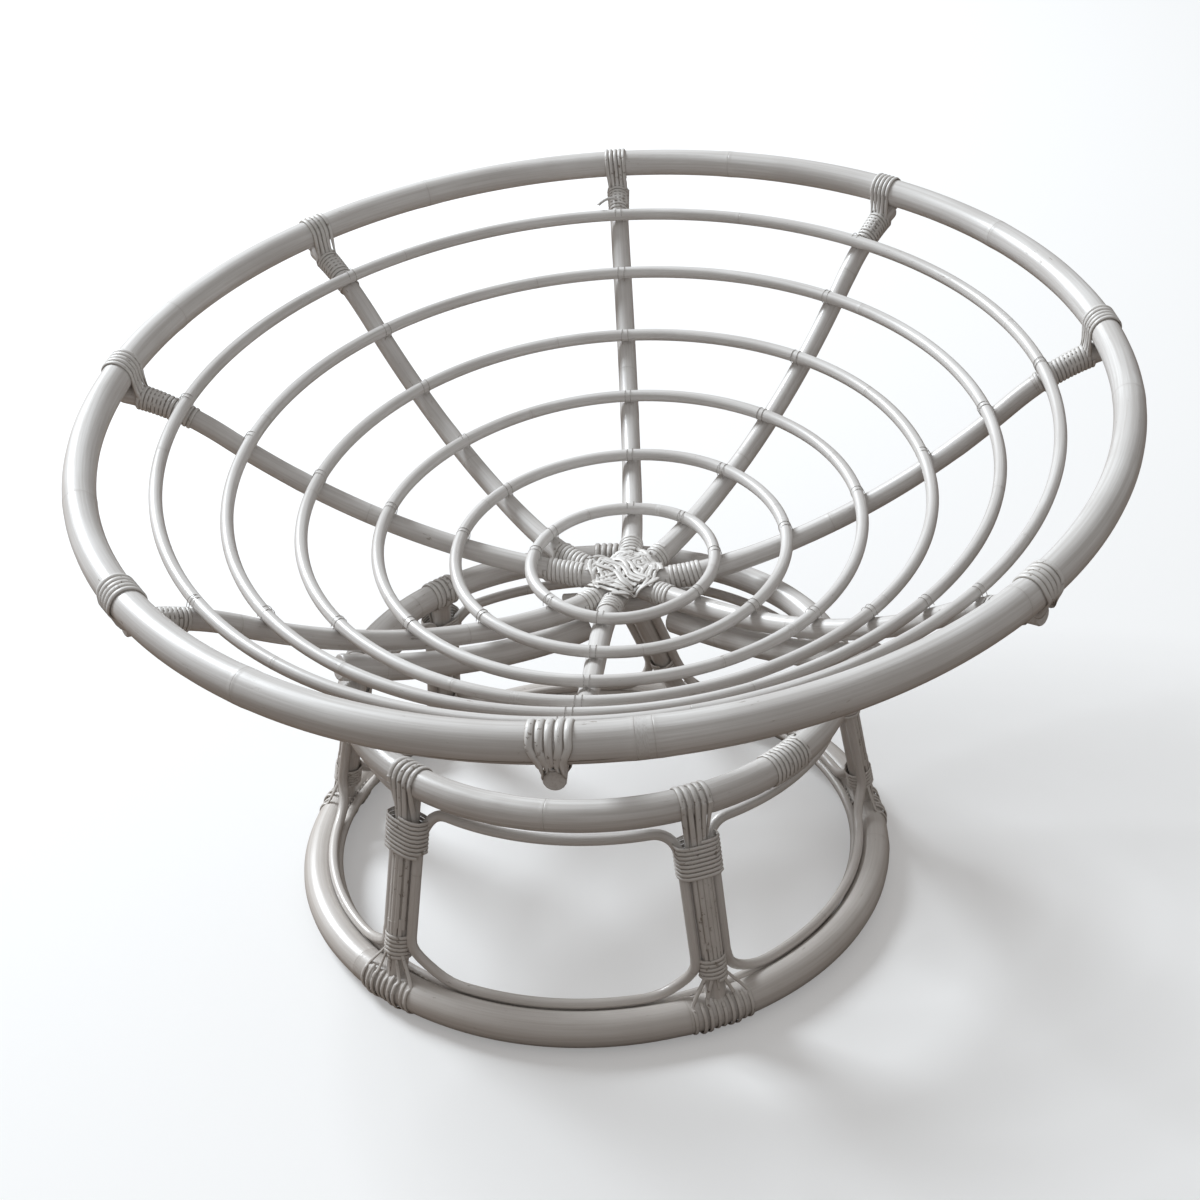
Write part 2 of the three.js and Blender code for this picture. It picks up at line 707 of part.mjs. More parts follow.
// Adds points to a loop's outline wherever two of them lie far apart
function spread(outline, wide, high) {
  const all = [];
  outline.forEach(([u, v], i) => {
    const [nextU, nextV] = outline[(i + 1) % outline.length];
    const length = Math.hypot((nextU - u) * wide, (nextV - v) * high);
    const parts = Math.max(1, Math.round(length / LOOP_STEP));
    for (let j = 0; j < parts; j += 1) all.push([mix(u, nextU, j / parts), mix(v, nextV, j / parts)]);
  });
  return all;
}

// Strands over the top ring and down the post's outer face
function makeTopLashing(post) {
  const index = nearest(topStations, onTopRing(radians(post.head)));
  const stations = serpentine((share) => {
    const here = alongRing(topStations, index, share * pitch);
    const outward = new THREE.Vector3(here.at.x, here.at.y, 0).normalize();
    const level = outward.addScaledVector(here.up, -outward.dot(here.up)).normalize();
    const arc = arcOver(here, level, -1, 5, 4, false, true).reverse();
    if (outOfPost(post, arc[arc.length - 1].at) < POST_POLE / 2 + caneSeat) arc.pop();
    const last = share === SADDLE_SHARES[SADDLE_SHARES.length - 1];
    return [...arc, legEnd(post, 1, share, last ? TOP_LEG - 2 * CANE_WIDTH : TOP_LEG)];
  });
  return wound('top lashing', [...stations, ...waist(post)]);
}

// How far out a place lies from a post's axis
function outOfPost(post, at) {
  const frame = postFrame(post, 1);
  return at.clone().sub(frame.at).dot(frame.outward);
}

// Where a strand's leg ends on the post's outer face
function legEnd(post, ring, share, leg) {
  const height = postFrame(post, ring).height;
  const frame = postFrame(post, ring ? 1 - leg / height : leg / height);
  const reach = POST_POLE / 2 + caneSeat;
  const at = frame.at.clone().addScaledVector(frame.outward, reach);
  return strand(at.addScaledVector(frame.side, -share * pitch), frame.outward);
}

const floorSlab = toSolid(
  new THREE.BoxGeometry(3 * FLOOR_RING_RADIUS, 3 * FLOOR_RING_RADIUS, OVERRUN).translate(0, 0, -OVERRUN / 2),
);

// Strands fanned round the floor ring, cut flat where the chair stands on them
function makeFootLashing(post) {
  const index = nearest(floorStations, onFloorRing(radians(post.foot)));
  const stations = serpentine((share) => {
    const here = alongRing(floorStations, index, share * pitch * FAN_SPREAD_SHARE);
    const outward = new THREE.Vector3(here.at.x, here.at.y, 0).normalize();
    const arc = arcOver({ ...here, up: UP }, outward, -9 / 2, 5, 5, true, false).reverse();
    return [legEnd(post, 0, share, FOOT_LEG), ...arc];
  });
  return toGeometry(toSolid(wound('foot lashing', stations)).subtract(floorSlab));
}

// The same strand then winds round the post, the loops beside it and its own legs
function waist(post) {
  const room = 2 * CLEARANCE + CANE_THICKNESS;
  const flank = POST_POLE / 2 + LOOP_ROD + LOOP_ROOM + room;
  const face = POST_POLE / 2 + CANE_THICKNESS + CLEARANCE + room;
  const back = POST_POLE / 2 + room;
  const wide = Math.max(...SADDLE_SHARES) * pitch + CANE_WIDTH / 2 + CANE_ROOM;
  const outline = [
    [-wide, face], [wide, face], [flank, LOOP_ROD / 2], [flank, -LOOP_ROD],
    [POST_POLE / 2, -back], [-POST_POLE / 2, -back], [-flank, -LOOP_ROD], [-flank, LOOP_ROD / 2],
  ];
  const height = postFrame(post, 1).height;
  const top = 1 - (TOP_LEG - CANE_WIDTH) / height;
  const stations = [];
  for (let i = 0; i <= WAIST_TURNS * outline.length; i += 1) {
    const [x, y] = outline[i % outline.length];
    const frame = postFrame(post, top - (i * pitch) / outline.length / height);
    const out = frame.side.clone().multiplyScalar(x).addScaledVector(frame.outward, y);
    stations.push(strand(frame.at.clone().add(out), out.clone().normalize()));
  }
  return stations;
}

function makeBowl() {
  const bowl = new THREE.Group();
  add(bowl, 'rim_pole', sweep(rimStations, poleSection, true));
  hoops.forEach((hoop, i) => {
    add(bowl, `hoop_${i + 1}`, sweep(ringStations(hoop), rodSection, true));
  });
  ribs.forEach((rib, i) => {
    add(bowl, `rib_${i + 1}`, makeRib(i));
    add(bowl, `rim_lashing_${i + 1}`, makeRimLashing(i), canePaint);
  });
  add(bowl, 'hub_crosspiece', makeCrosspiece());
  add(bowl, 'hub_brace_right', makeBrace(ribs[3]));
  add(bowl, 'hub_brace_left', makeBrace(ribs[5]));
  add(bowl, 'hub_lashing_right', makeHubLashing(2), canePaint);
  add(bowl, 'hub_lashing_left', makeHubLashing(6), canePaint);
  bowl.position.copy(ball);
  bowl.rotation.x = radians(BOWL_TILT);
  return bowl;
}

function makeStand() {
  const stand = new THREE.Group();
  add(stand, 'floor_ring', sweep(floorStations, stoutSection, true));
  add(stand, 'floor_ring_liner', makeLiner());
  add(stand, 'top_ring', sweep(topStations, poleSection, true));
  POSTS.forEach((post, i) => {
    const next = POSTS[(i + 1) % POSTS.length];
    add(stand, `post_${i + 1}`, makePost(post));
    add(stand, `panel_loop_${i + 1}`, makeLoop(post, next));
    add(stand, `top_lashing_${i + 1}`, makeTopLashing(post), canePaint);
    add(stand, `foot_lashing_${i + 1}`, makeFootLashing(post), canePaint);
  });
  return stand;
}

// The chair's origin is the middle of its box, on the floor
const chair = new THREE.Group();
chair.add(makeStand(), makeBowl());
chair.updateMatrixWorld(true);
const box = new THREE.Box3().setFromObject(chair, true);
const middle = box.getCenter(new THREE.Vector3());
chair.position.set(-middle.x, -middle.y, -box.min.z);

for (const [kind, gap] of Object.entries(gaps)) {
  console.log(`least gap of ${kind} to itself: ${gap.toFixed(2)} mm`);
}

export default chair;
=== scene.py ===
import math
import random

import bpy
from mathutils import Matrix, Vector


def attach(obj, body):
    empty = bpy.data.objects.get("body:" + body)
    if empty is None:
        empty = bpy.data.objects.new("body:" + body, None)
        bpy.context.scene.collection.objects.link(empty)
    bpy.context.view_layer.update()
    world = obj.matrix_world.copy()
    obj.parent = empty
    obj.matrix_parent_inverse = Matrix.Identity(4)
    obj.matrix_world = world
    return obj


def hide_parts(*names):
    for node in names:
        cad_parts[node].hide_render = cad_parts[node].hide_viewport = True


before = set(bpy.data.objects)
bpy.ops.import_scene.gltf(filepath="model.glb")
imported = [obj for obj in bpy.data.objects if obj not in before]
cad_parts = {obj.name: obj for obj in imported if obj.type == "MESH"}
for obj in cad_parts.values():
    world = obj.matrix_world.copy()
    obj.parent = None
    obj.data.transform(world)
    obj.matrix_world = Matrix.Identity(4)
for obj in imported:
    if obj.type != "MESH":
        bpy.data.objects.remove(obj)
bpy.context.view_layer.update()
dice = random.Random(7)

# The rim is the thickest pole of the bowl, steamed and bent to a ring, with its two ends cut long
# and glued together along the lower front. It lies on the ribs, which follow a ball whose centre
# is high over the seat, and the whole bowl leans forward on its stand.
BALL = Vector((-0.00006, -0.04887, 0.98055))
BALL_RADIUS = 0.7304
BOWL_LEAN = Matrix.Rotation(math.radians(5.7), 3, "X")
RIM_RADIUS = 0.5325
RIM_BUTT, RIM_TIP = 0.036, 0.030
RIM_DRAWN = 0.037, 0.0275
RIM_STEPS, RIM_STEP = 320, 0.01046
RIM_KNOTS = 0.37
RIB_RADIUS = 0.0135
RIB_STUB = 0.020
LEAVE = math.radians(36.5)
LEAVE_RADIUS = BALL_RADIUS * math.sin(LEAVE)
END_RADIUS = RIM_RADIUS + RIB_STUB
EASING = (math.tan(math.radians(4.5)) - math.tan(LEAVE)) / (END_RADIUS - LEAVE_RADIUS)
BUTT_HEADING = math.radians(151)
TOUCH = 0.0003
UP = Vector((0, 0, 1))


def heading(angle):
    return Vector((math.sin(angle), math.cos(angle), 0))


def across(angle):
    return Vector((math.cos(angle), -math.sin(angle), 0))


def in_bowl(place):
    return BALL + BOWL_LEAN @ place


def rib_slope(r):
    if r <= LEAVE_RADIUS:
        return r / math.sqrt(BALL_RADIUS ** 2 - r * r)
    return math.tan(LEAVE) + EASING * (r - LEAVE_RADIUS)


def rib_height(r):
    if r <= LEAVE_RADIUS:
        return -math.sqrt(BALL_RADIUS ** 2 - r * r)
    run = r - LEAVE_RADIUS
    return -BALL_RADIUS * math.cos(LEAVE) + run * math.tan(LEAVE) + EASING * run * run / 2


def seat_on_ribs(r, lift):
    foot = r
    for _ in range(12):
        foot = r + lift * math.sin(math.atan(rib_slope(foot)))
    slope = math.atan(rib_slope(foot))
    return foot, slope, rib_height(foot) + lift * math.cos(slope)


def inward(plan, slope):
    return plan.normalized() * -math.sin(slope) + UP * math.cos(slope)


def taper(butt, tip, angle):
    return (butt + tip) / 4 + (butt - tip) / 4 * math.cos(angle - BUTT_HEADING)


def deselect():
    for thing in list(bpy.context.selected_objects):
        thing.select_set(False)


def pick(piece):
    deselect()
    piece.select_set(True)
    bpy.context.view_layer.objects.active = piece


def write_grain(mesh, values):
    mesh.attributes.new("grain", "FLOAT_VECTOR", "POINT").data.foreach_set("vector", values)


def bent_pole(name, places, radii, closed=False, sides=6, start=None):
    """A pole that follows the places, with its grain running along it"""
    line = bpy.data.curves.new(name, "CURVE")
    line.dimensions = "3D"
    line.bevel_depth = 1
    line.bevel_resolution = sides
    line.use_fill_caps = not closed
    spline = line.splines.new("POLY")
    spline.points.add(len(places) - 1)
    for point, place, radius in zip(spline.points, places, radii):
        point.co = (*place, 1)
        point.radius = radius
    spline.use_cyclic_u = closed
    pole = bpy.data.objects.new(name, line)
    bpy.context.collection.objects.link(pole)
    pick(pole)
    bpy.ops.object.convert(target="MESH")
    pole = bpy.context.object
    # each corner of the pole learns how far along it lies and at which side
    lengths = [0.0]
    for last, here in zip(places, places[1:]):
        lengths.append(lengths[-1] + (here - last).length)
    start = dice.uniform(0, 40) if start is None else start
    ring = 2 * sides + 4
    values = []
    skip = 0 if closed else 2 * ring
    for vertex in pole.data.vertices:
        around = 2 * math.pi * (vertex.index % ring) / ring
        station = (vertex.index - skip) // ring
        if vertex.index < skip:
            station = (0, len(places) - 1)[vertex.index < ring]
        radius = radii[min(station, len(radii) - 1)]
        along = start + lengths[min(station, len(lengths) - 1)]
        values += [math.cos(around) * radius, math.sin(around) * radius, along]
    write_grain(pole.data, values)
    pick(pole)
    bpy.ops.object.shade_smooth_by_angle(angle=math.radians(40))
    deselect()
    return pole


class Value:
    """A socket of a material, so that its sums can be written as sums"""

    def __init__(self, finish, socket):
        self.finish = finish
        self.socket = socket

    def sum(self, operation, *others):
        sockets = dict(enumerate((self, *others)))
        return self.finish.node("ShaderNodeMath", {"operation": operation}, sockets)

    def __add__(self, other):
        return self.sum("ADD", other)

    def __sub__(self, other):
        return self.sum("SUBTRACT", other)

    def __rsub__(self, other):
        return self.finish.node("ShaderNodeMath", {"operation": "SUBTRACT"}, {0: other, 1: self})

    def __mul__(self, other):
        return self.sum("MULTIPLY", other)

    def __mod__(self, other):
        return self.sum("FLOORED_MODULO", other)

    def __abs__(self):
        return self.sum("ABSOLUTE")

    __radd__ = __add__

    def between(self, low, high):
        """0 below low, 1 above high and a soft step between them"""
        settings = {"interpolation_type": "SMOOTHSTEP"}
        return self.finish.node("ShaderNodeMapRange", settings, {0: self, 1: low, 2: high})


class Finish:
    """A material made of nodes"""

    def __init__(self, name):
        self.material = bpy.data.materials.new(name)
        self.material.use_nodes = True
        self.tree = self.material.node_tree
        self.tree.nodes.clear()

    def node(self, kind, settings, sockets, output=0):
        node = self.tree.nodes.new(kind)
        for key, setting in settings.items():
            setattr(node, key, setting)
        for key, value in sockets.items():
            if isinstance(value, Value):
                self.tree.links.new(value.socket, node.inputs[key])
            else:
                node.inputs[key].default_value = value
        return Value(self, node.outputs[output])

    def mix(self, share, one, other):
        return self.node("ShaderNodeMix", {"data_type": "RGBA"}, {0: share, 6: one, 7: other}, 2)

    def noise(self, place, scale, detail=3.0, rough=0.5):
        scaled = self.node("ShaderNodeVectorMath", {"operation": "MULTIPLY"}, {0: place, 1: scale})
        sockets = {"Vector": scaled, "Scale": 1.0, "Detail": detail, "Roughness": rough}
        return self.node("ShaderNodeTexNoise", {}, sockets)

    def grain(self):
        return self.node("ShaderNodeAttribute", {"attribute_name": "grain"}, {}, "Vector")

    def place(self):
        return self.node("ShaderNodeTexCoord", {}, {}, "Object")

    def part(self, place, axis):
        return self.node("ShaderNodeSeparateXYZ", {}, {0: place}, axis)

    def painted_low_shade(self, colour, place):
        """Painted shade: the colour darker and warmer near the floor, less of it higher up"""
        # painted shade, strongest at the floor and gone a third of a metre up
        low_shade = 1 - self.part(place, "Z").between(0.02, 0.34)
        return self.mix(low_shade * 0.38, colour, (0.50, 0.43, 0.37, 1))

    def surface(self, sockets, height, depth):
        bump = {"Height": height, "Strength": 1.0, "Distance": depth}
        sockets["Normal"] = self.node("ShaderNodeBump", {}, bump)
        self.node_output(self.node("ShaderNodeBsdfPrincipled", {}, sockets))

    def node_output(self, shader):
        output = self.tree.nodes.new("ShaderNodeOutputMaterial")
        self.tree.links.new(shader.socket, output.inputs[0])


def painted_pole(name, knots, seam=None):
    """Off-white paint on a rattan pole: brush streaks along it, a ring at each growth joint,
    brown where the paint is thin"""
    finish = Finish(name)
    grain, place = finish.grain(), finish.place()
    along = finish.part(grain, "Z")
    streaks = finish.noise(grain, (300, 300, 5), 5.0, 0.6)
    fibres = finish.noise(grain, (1300, 1300, 20), 2.0)
    cloud = finish.noise(place, (9, 9, 9), 3.0)
    speckle = finish.noise(grain, (240, 240, 60), 4.0, 0.65)
    from_joint = knots - abs((along % knots) * (1 / knots) - 0.5) * (2 * knots)
    joint = 1 - from_joint.between(0.0002, 0.0014)
    collar = 1 - from_joint.between(0.001, 0.010)
    thin = streaks.between(0.54, 0.74) * cloud.between(0.40, 0.66)
    scuffs = speckle.between(0.66, 0.72) * cloud.between(0.45, 0.62)
    colour = finish.mix(streaks.between(0.3, 0.7), (0.66, 0.64, 0.62, 1), (0.83, 0.82, 0.81, 1))
    colour = finish.mix(cloud.between(0.35, 0.7) * 0.3, colour, (0.50, 0.47, 0.45, 1))
    colour = finish.mix(thin * 0.5, colour, (0.40, 0.36, 0.32, 1))
    colour = finish.mix(collar * streaks.between(0.4, 0.7) * 0.2, colour, (0.42, 0.38, 0.34, 1))
    if seam:
        # the two cut ends meet in a line that runs slowly round the pole
        first, last, start_side, turned = seam
        side = (along - first) * ((turned - start_side) / (last - first)) + start_side
        x, y = finish.part(grain, "X"), finish.part(grain, "Y")
        cosine, sine = side.sum("COSINE"), side.sum("SINE")
        beside, facing = x * sine - y * cosine, x * cosine + y * sine
        line = (1 - abs(beside).between(0.0002, 0.0009)) * facing.between(0, 0.002)
        line = line * along.between(first, first + 0.02) * (1 - along.between(last - 0.02, last))
        line = line * (streaks.between(0.25, 0.5) * 0.5 + 0.4)
        colour = finish.mix(line, colour, (0.13, 0.10, 0.08, 1))
    # painted shade: darker and warmer towards the floor
    colour = finish.painted_low_shade(colour, place)
    colour = finish.mix(joint * 0.22, colour, (0.30, 0.26, 0.22, 1))
    colour = finish.mix(scuffs * 0.6, colour, (0.24, 0.19, 0.15, 1))
    rough = 0.21 + streaks * 0.26 + cloud * 0.10 + scuffs * 0.25
    height = streaks * 0.55 + fibres * 0.12 + collar * 0.4 - joint * 0.4 - scuffs * 0.4
    sockets = {"Base Color": colour, "Roughness": rough, "IOR": 1.5, "Coat Weight": 0.3,
               "Coat Roughness": 0.18}
    finish.surface(sockets, height, 0.0005)
    return finish.material


def rim_radius(angle):
    return taper(RIM_BUTT, RIM_TIP, angle)


def rim_place(angle):
    plan = heading(angle) * RIM_RADIUS
    _, slope, z = seat_on_ribs(RIM_RADIUS, RIB_RADIUS + rim_radius(angle) + TOUCH)
    return plan + UP * z, inward(plan, slope)


def mixed(a, b, share):
    return a + (b - a) * share


def swell(along, spacing, start=0.0):
    """A pole is a little thicker at its growth joints"""
    off = abs((along + start + spacing / 2) % spacing - spacing / 2)
    return 1 + 0.025 * math.exp(-(off / 0.008) ** 2)


# where the seam starts and stops along the rim, and at which side of it
RIM_SEAM = 0.01, 0.31, -0.62, -0.95
rim_angles = [2 * math.pi * i / RIM_STEPS + BUTT_HEADING for i in range(RIM_STEPS)]
rim_pole = bent_pole(
    "rim_pole_bent",
    [in_bowl(rim_place(angle)[0]) for angle in rim_angles],
    [taper(*RIM_DRAWN, a) * swell(i * RIM_STEP, RIM_KNOTS) for i, a in enumerate(rim_angles)],
    closed=True, sides=10, start=0)
rim_pole.data.materials.append(painted_pole("painted_rim", RIM_KNOTS, RIM_SEAM))
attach(rim_pole, "bowl")
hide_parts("rim_pole")

# Eight ribs of thinner pole carry the seat. Each is bent to the ball's curve, runs under the rim
# and is sawn off just outside it, and its inner end lies beside the others' at the hub.
RIB_HEADINGS = [math.radians(a) for a in (-25.9, 10.7, 52.3, 106.8, 155.9, 213.9, 257.5, 298.4)]
RIB_SHIFTS = [2 * RIB_RADIUS * s for s in (0.37, 0.35, 0.73, -0.29, 0.99, -0.73, 0.13, -1.3)]
HUB_BEND = 0.045


def rib_plan(i, s):
    aside = RIB_SHIFTS[i] * s * s / (s * s + HUB_BEND ** 2)
    return heading(RIB_HEADINGS[i]) * s + across(RIB_HEADINGS[i]) * aside


def rib_meet(i, radius, centre=Vector((0, 0, 0))):
    s = radius
    for _ in range(12):
        s += radius - (rib_plan(i, s) - centre).length
    return s


def rib_frame(i, s):
    """A rib's centre, its upper side and its direction outwards, in the bowl"""
    plan = rib_plan(i, s)
    place = plan + UP * rib_height(plan.length)
    onward = rib_plan(i, s + 0.001)
    onward = onward + UP * rib_height(onward.length) - place
    onward.normalize()
    up = inward(plan, math.atan(rib_slope(plan.length))) if plan.length else UP
    up = (up - onward * up.dot(onward)).normalized()
    return place, up, onward


def sawn(places, radii):
    """Both ends of a pole, rounded over where they were sawn"""
    first, last = places[0], places[-1]
    start = (places[1] - first).normalized()
    stop = (places[-2] - last).normalized()
    head = [first, first + start * 0.0006, first + start * 0.002]
    tail = [last + stop * 0.002, last + stop * 0.0006, last]
    r, t = radii[0], radii[-1]
    return (head + places[1:-1] + tail,
            [r * 0.86, r * 0.95, r] + radii[1:-1] + [t, t * 0.95, t * 0.86])


RIB_ROOT, RIB_THIN, THIN_FROM = 0.0125, 0.0108, 0.2
RIB_START, RIB_STEPS, RIB_KNOTS = 0.016, 90, 0.26
FRONT_RIB = 4


def drawn_radius(s):
    return mixed(RIB_ROOT, RIB_THIN, min(s / THIN_FROM, 1))


def drawn_rib(i, s):
    """The peeled rib: a little thinner outwards, its upper side where the hoops lie"""
    place, up, onward = rib_frame(i, s)
    return place + up * (RIB_RADIUS - drawn_radius(s)), up, onward


rib_paint = painted_pole("painted_rib", RIB_KNOTS)
for i in range(8):
    end = rib_meet(i, END_RADIUS) - (0.002 if i == FRONT_RIB else 0.012)
    stops = [RIB_START + (end - RIB_START) * k / RIB_STEPS for k in range(RIB_STEPS + 1)]
    places = [in_bowl(drawn_rib(i, s)[0]) for s in stops]
    radii = [drawn_radius(s) * swell(s, RIB_KNOTS, i * 0.07) for s in stops]
    rib = bent_pole(f"rib_{i + 1}_bent", *sawn(places, radii))
    rib.data.materials.append(rib_paint)
    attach(rib, "bowl")
    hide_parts(f"rib_{i + 1}")

# Six hoops of thin peeled rod lie on the ribs from the hub outwards. Each is one rod bent to a
# ring, whose ends overlap where a rib hides them.
HOOP_ANGLES = [math.radians(a) for a in (8.2, 14.8, 21.7, 28.3, 34.8, 41.1)]
HOOP_SHIFTS = [(-0.01, -0.04), (-0.06, 0.03), (0.08, 0.02), (0.03, 0.05), (0.03, 0.01),
               (-0.05, -0.01)]
HOOP_ROD = 0.015
HOOP_LIFT = RIB_RADIUS + HOOP_ROD / 2 - 0.0004
HOOP_DRAWN, ROD_KNOTS = 0.88, 0.41
rod_paint = painted_pole("painted_rod", ROD_KNOTS)


def hoop_centre(h):
    return Vector((*HOOP_SHIFTS[h], 0)) * HOOP_ROD


def hoop_radius(h):
    return math.sin(HOOP_ANGLES[h]) * (BALL_RADIUS - RIB_RADIUS - HOOP_ROD / 2)


def hoop_place(h, angle):
    plan = heading(angle) * hoop_radius(h) + hoop_centre(h)
    _, slope, z = seat_on_ribs(plan.length, HOOP_LIFT)
    return plan + UP * z, inward(plan, slope)


for h in range(6):
    steps = 90 + 30 * h
    turns = [2 * math.pi * k / steps + h for k in range(steps)]
    # no hoop is quite round
    wave = [math.sin(3 * t + h) * 0.0008 + math.sin(5 * t + 2 * h) * 0.0005 for t in turns]
    places = [in_bowl(hoop_place(h, t)[0] + heading(t) * w) for t, w in zip(turns, wave)]
    radii = [HOOP_ROD / 2 * (HOOP_DRAWN + 0.03 * math.sin(2 * t)) for t in turns]
    hoop = bent_pole(f"hoop_{h + 1}_bent", places, radii, closed=True, sides=5)
    hoop.data.materials.append(rod_paint)
    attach(hoop, "bowl")
    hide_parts(f"hoop_{h + 1}")

# A thin wire staple holds each hoop on each rib. It bridges the rod and its legs go into the rib,
# and the paint over it has cracked to two dark lines.
WIRE = 0.00034
STAPLE_REACH = HOOP_ROD * 0.46 + WIRE * 0.4
STAPLE_LEG = 0.003


def dark_wire():
    finish = Finish("staple_wire")
    spots = finish.noise(finish.place(), (900, 900, 900), 3.0)
    colour = finish.mix(spots.between(0.4, 0.65), (0.36, 0.34, 0.32, 1), (0.62, 0.6, 0.58, 1))
    finish.surface({"Base Color": colour, "Metallic": spots.between(0.5, 0.6) * 0.5,
                    "Roughness": 0.45 + spots * 0.2}, spots, 0.0002)
    return finish.material


staples = []
for h in range(6):
    for i in range(8):
        s = rib_meet(i, hoop_radius(h), hoop_centre(h))
        s += (RIB_RADIUS + HOOP_ROD / 2) * math.sin(math.atan(rib_slope(hoop_radius(h))))
        place, up, onward = rib_frame(i, s)
        side = onward.cross(up)
        middle = place + up * HOOP_LIFT
        for shift in (-0.0032, 0.0032):
            shift += dice.uniform(-0.0007, 0.0007)
            skew = dice.uniform(-0.12, 0.12)
            over = []
            for k in range(-2, 13):
                angle = math.pi * k / 10
                x, y = math.cos(angle) * STAPLE_REACH, math.sin(angle) * STAPLE_REACH
                if k < 0 or k > 10:
                    x, y = math.copysign(STAPLE_REACH, x), -STAPLE_LEG * max(-k, k - 10)
                over.append(in_bowl(middle + onward * x + up * y + side * (shift + skew * x)))
            staples.append(bent_pole(f"wire_{h}_{i}", over, [WIRE] * len(over), sides=1))
deselect()
for staple in staples:
    staple.select_set(True)
bpy.context.view_layer.objects.active = staples[0]
bpy.ops.object.join()
staples = bpy.context.object
staples.name = "hoop_staples"
staples.data.materials.append(dark_wire())
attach(staples, "bowl")

# The rim is tied to each rib with cane: five flat strands side by side saddle the rim, their
# ends lie along the rib on both sides of it, and a strand wound closely round the rib binds them.
CANE_THICK = 0.0016
SADDLE_THICK = 0.0030
SADDLE_PITCH = 0.0050, 0.0050, 0.0058, 0.0066, 0.0083, 0.0064, 0.0060, 0.0053
COLLAR_TURNS = 8, 10, 14, 10, 9, 10, 14, 12
# the paint is laid out for a strand of this half width, and stretched on others
PAINT_HALF = 0.0031


def painted_cane():
    """Paint on split cane, with painted shade along each strand's edges where it meets the next,
    and rubbed off their crowns
    """
    finish = Finish("painted_cane")
    grain, place = finish.grain(), finish.place()
    fibres = finish.noise(grain, (1900, 1900, 30), 3.0, 0.6)
    cloud = finish.noise(place, (28, 28, 28), 3.0)
    chips = finish.noise(place, (190, 190, 190), 4.0, 0.6)
    # painted shade in the gaps between strands, at each strand's two edges
    edge = abs(finish.part(grain, "X")).between(0.0021, PAINT_HALF)
    bare = chips.between(0.60, 0.66) * cloud.between(0.40, 0.56)
    colour = finish.mix(fibres.between(0.3, 0.7), (0.73, 0.71, 0.69, 1), (0.81, 0.80, 0.785, 1))
    colour = finish.mix(cloud.between(0.4, 0.7) * 0.25, colour, (0.50, 0.47, 0.44, 1))
    # painted shade: darker and warmer towards the floor
    colour = finish.painted_low_shade(colour, place)
    # painted shade darkens the strands' edges
    colour = finish.mix(edge * 0.75, colour, (0.27, 0.23, 0.19, 1))
    colour = finish.mix(bare * 0.75, colour, (0.25, 0.20, 0.16, 1))
    height = fibres * 0.5 - edge * 0.5 - bare
    sockets = {"Base Color": colour, "Roughness": 0.32 + fibres * 0.15, "IOR": 1.48,
               "Coat Weight": 0.1, "Coat Roughness": 0.3}
    finish.surface(sockets, height, 0.0004)
    return finish.material


cane_paint = painted_cane()


def smoothed(places, parts=3):
    """More points on a smooth line through the given ones"""
    out = []
    for i in range(len(places) - 1):
        a = places[max(i - 1, 0)]
        b, c = places[i], places[i + 1]
        d = places[min(i + 2, len(places) - 1)]
        for k in range(parts):
            t = k / parts
            out.append((b * 2 + (c - a) * t + (a * 2 - b * 5 + c * 4 - d) * t * t
                        + (b * 3 - a - c * 3 + d) * t ** 3) * 0.5)
    out.append(places[-1])
    return out


def cane_bundle(name, strands, body, nodes):
    """Flat strands with crowned faces. Each is its places, the sides that face out, its width
    and, where it isn't that of all cane, its thickness."""
    points, faces, values = [], [], []
    for places, outs, width, *own in strands:
        thick = own[0] if own else CANE_THICK
        start, along = dice.uniform(0, 40), 0.0
        for k, (place, out) in enumerate(zip(places, outs)):
            last, next_place = places[max(k - 1, 0)], places[min(k + 1, len(places) - 1)]
            forward = (next_place - last).normalized()
            side = forward.cross(out).normalized()
            along += (place - last).length
            for share, rise in ((-1, -0.5), (-0.66, 0.55), (0, 1.0), (0.66, 0.55), (1, -0.5)):
                crown = out * (thick * 0.5 * rise)
                points.append(place + side * (share * width / 2) + crown)
                values += [share * PAINT_HALF, 0.0, start + along]
            if k:
                row = len(points) - 10
                faces += [(row + j, row + j + 1, row + j + 6, row + j + 5) for j in range(4)]
    mesh = bpy.data.meshes.new(name)
    mesh.from_pydata(points, [], faces)
    write_grain(mesh, values)
    bundle = bpy.data.objects.new(name, mesh)
    bpy.context.collection.objects.link(bundle)
    pick(bundle)
    wall = bundle.modifiers.new("thickness", "SOLIDIFY")
    wall.thickness = CANE_THICK * 0.6
    wall.offset = -1
    bpy.ops.object.modifier_apply(modifier="thickness")
    bpy.ops.object.mode_set(mode="EDIT")
    bpy.ops.mesh.select_all(action="SELECT")
    bpy.ops.mesh.normals_make_consistent(inside=False)
    bpy.ops.object.mode_set(mode="OBJECT")
    bpy.ops.object.shade_smooth_by_angle(angle=math.radians(50))
    deselect()
    bundle.data.materials.append(cane_paint)
    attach(bundle, body)
    if nodes:
        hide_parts(*nodes)
    return bundle


def winding(frame_at, start, step, turns, reach, phase=0.0, reach_end=None):
    """One strand wound round a pole, whose frame_at gives a centre, an up and a direction"""
    places, outs = [], []
    steps = 14
    for k in range(int(turns * steps) + 1):
        share = k / (turns * steps)
        angle = 2 * math.pi * k / steps + phase
        centre, up, onward = frame_at(start + step * k / steps)
        out = up * math.cos(angle) + onward.cross(up) * math.sin(angle)
        far = reach if reach_end is None else reach + (reach_end - reach) * share
        places.append(centre + out * far)
        outs.append(out)
    return places, outs


def bowl_strand(places, outs, *size):
    """A strand as cane_bundle takes it, from its places in the level bowl"""
    return [in_bowl(p) for p in places], [(BOWL_LEAN @ o).normalized() for o in outs], *size


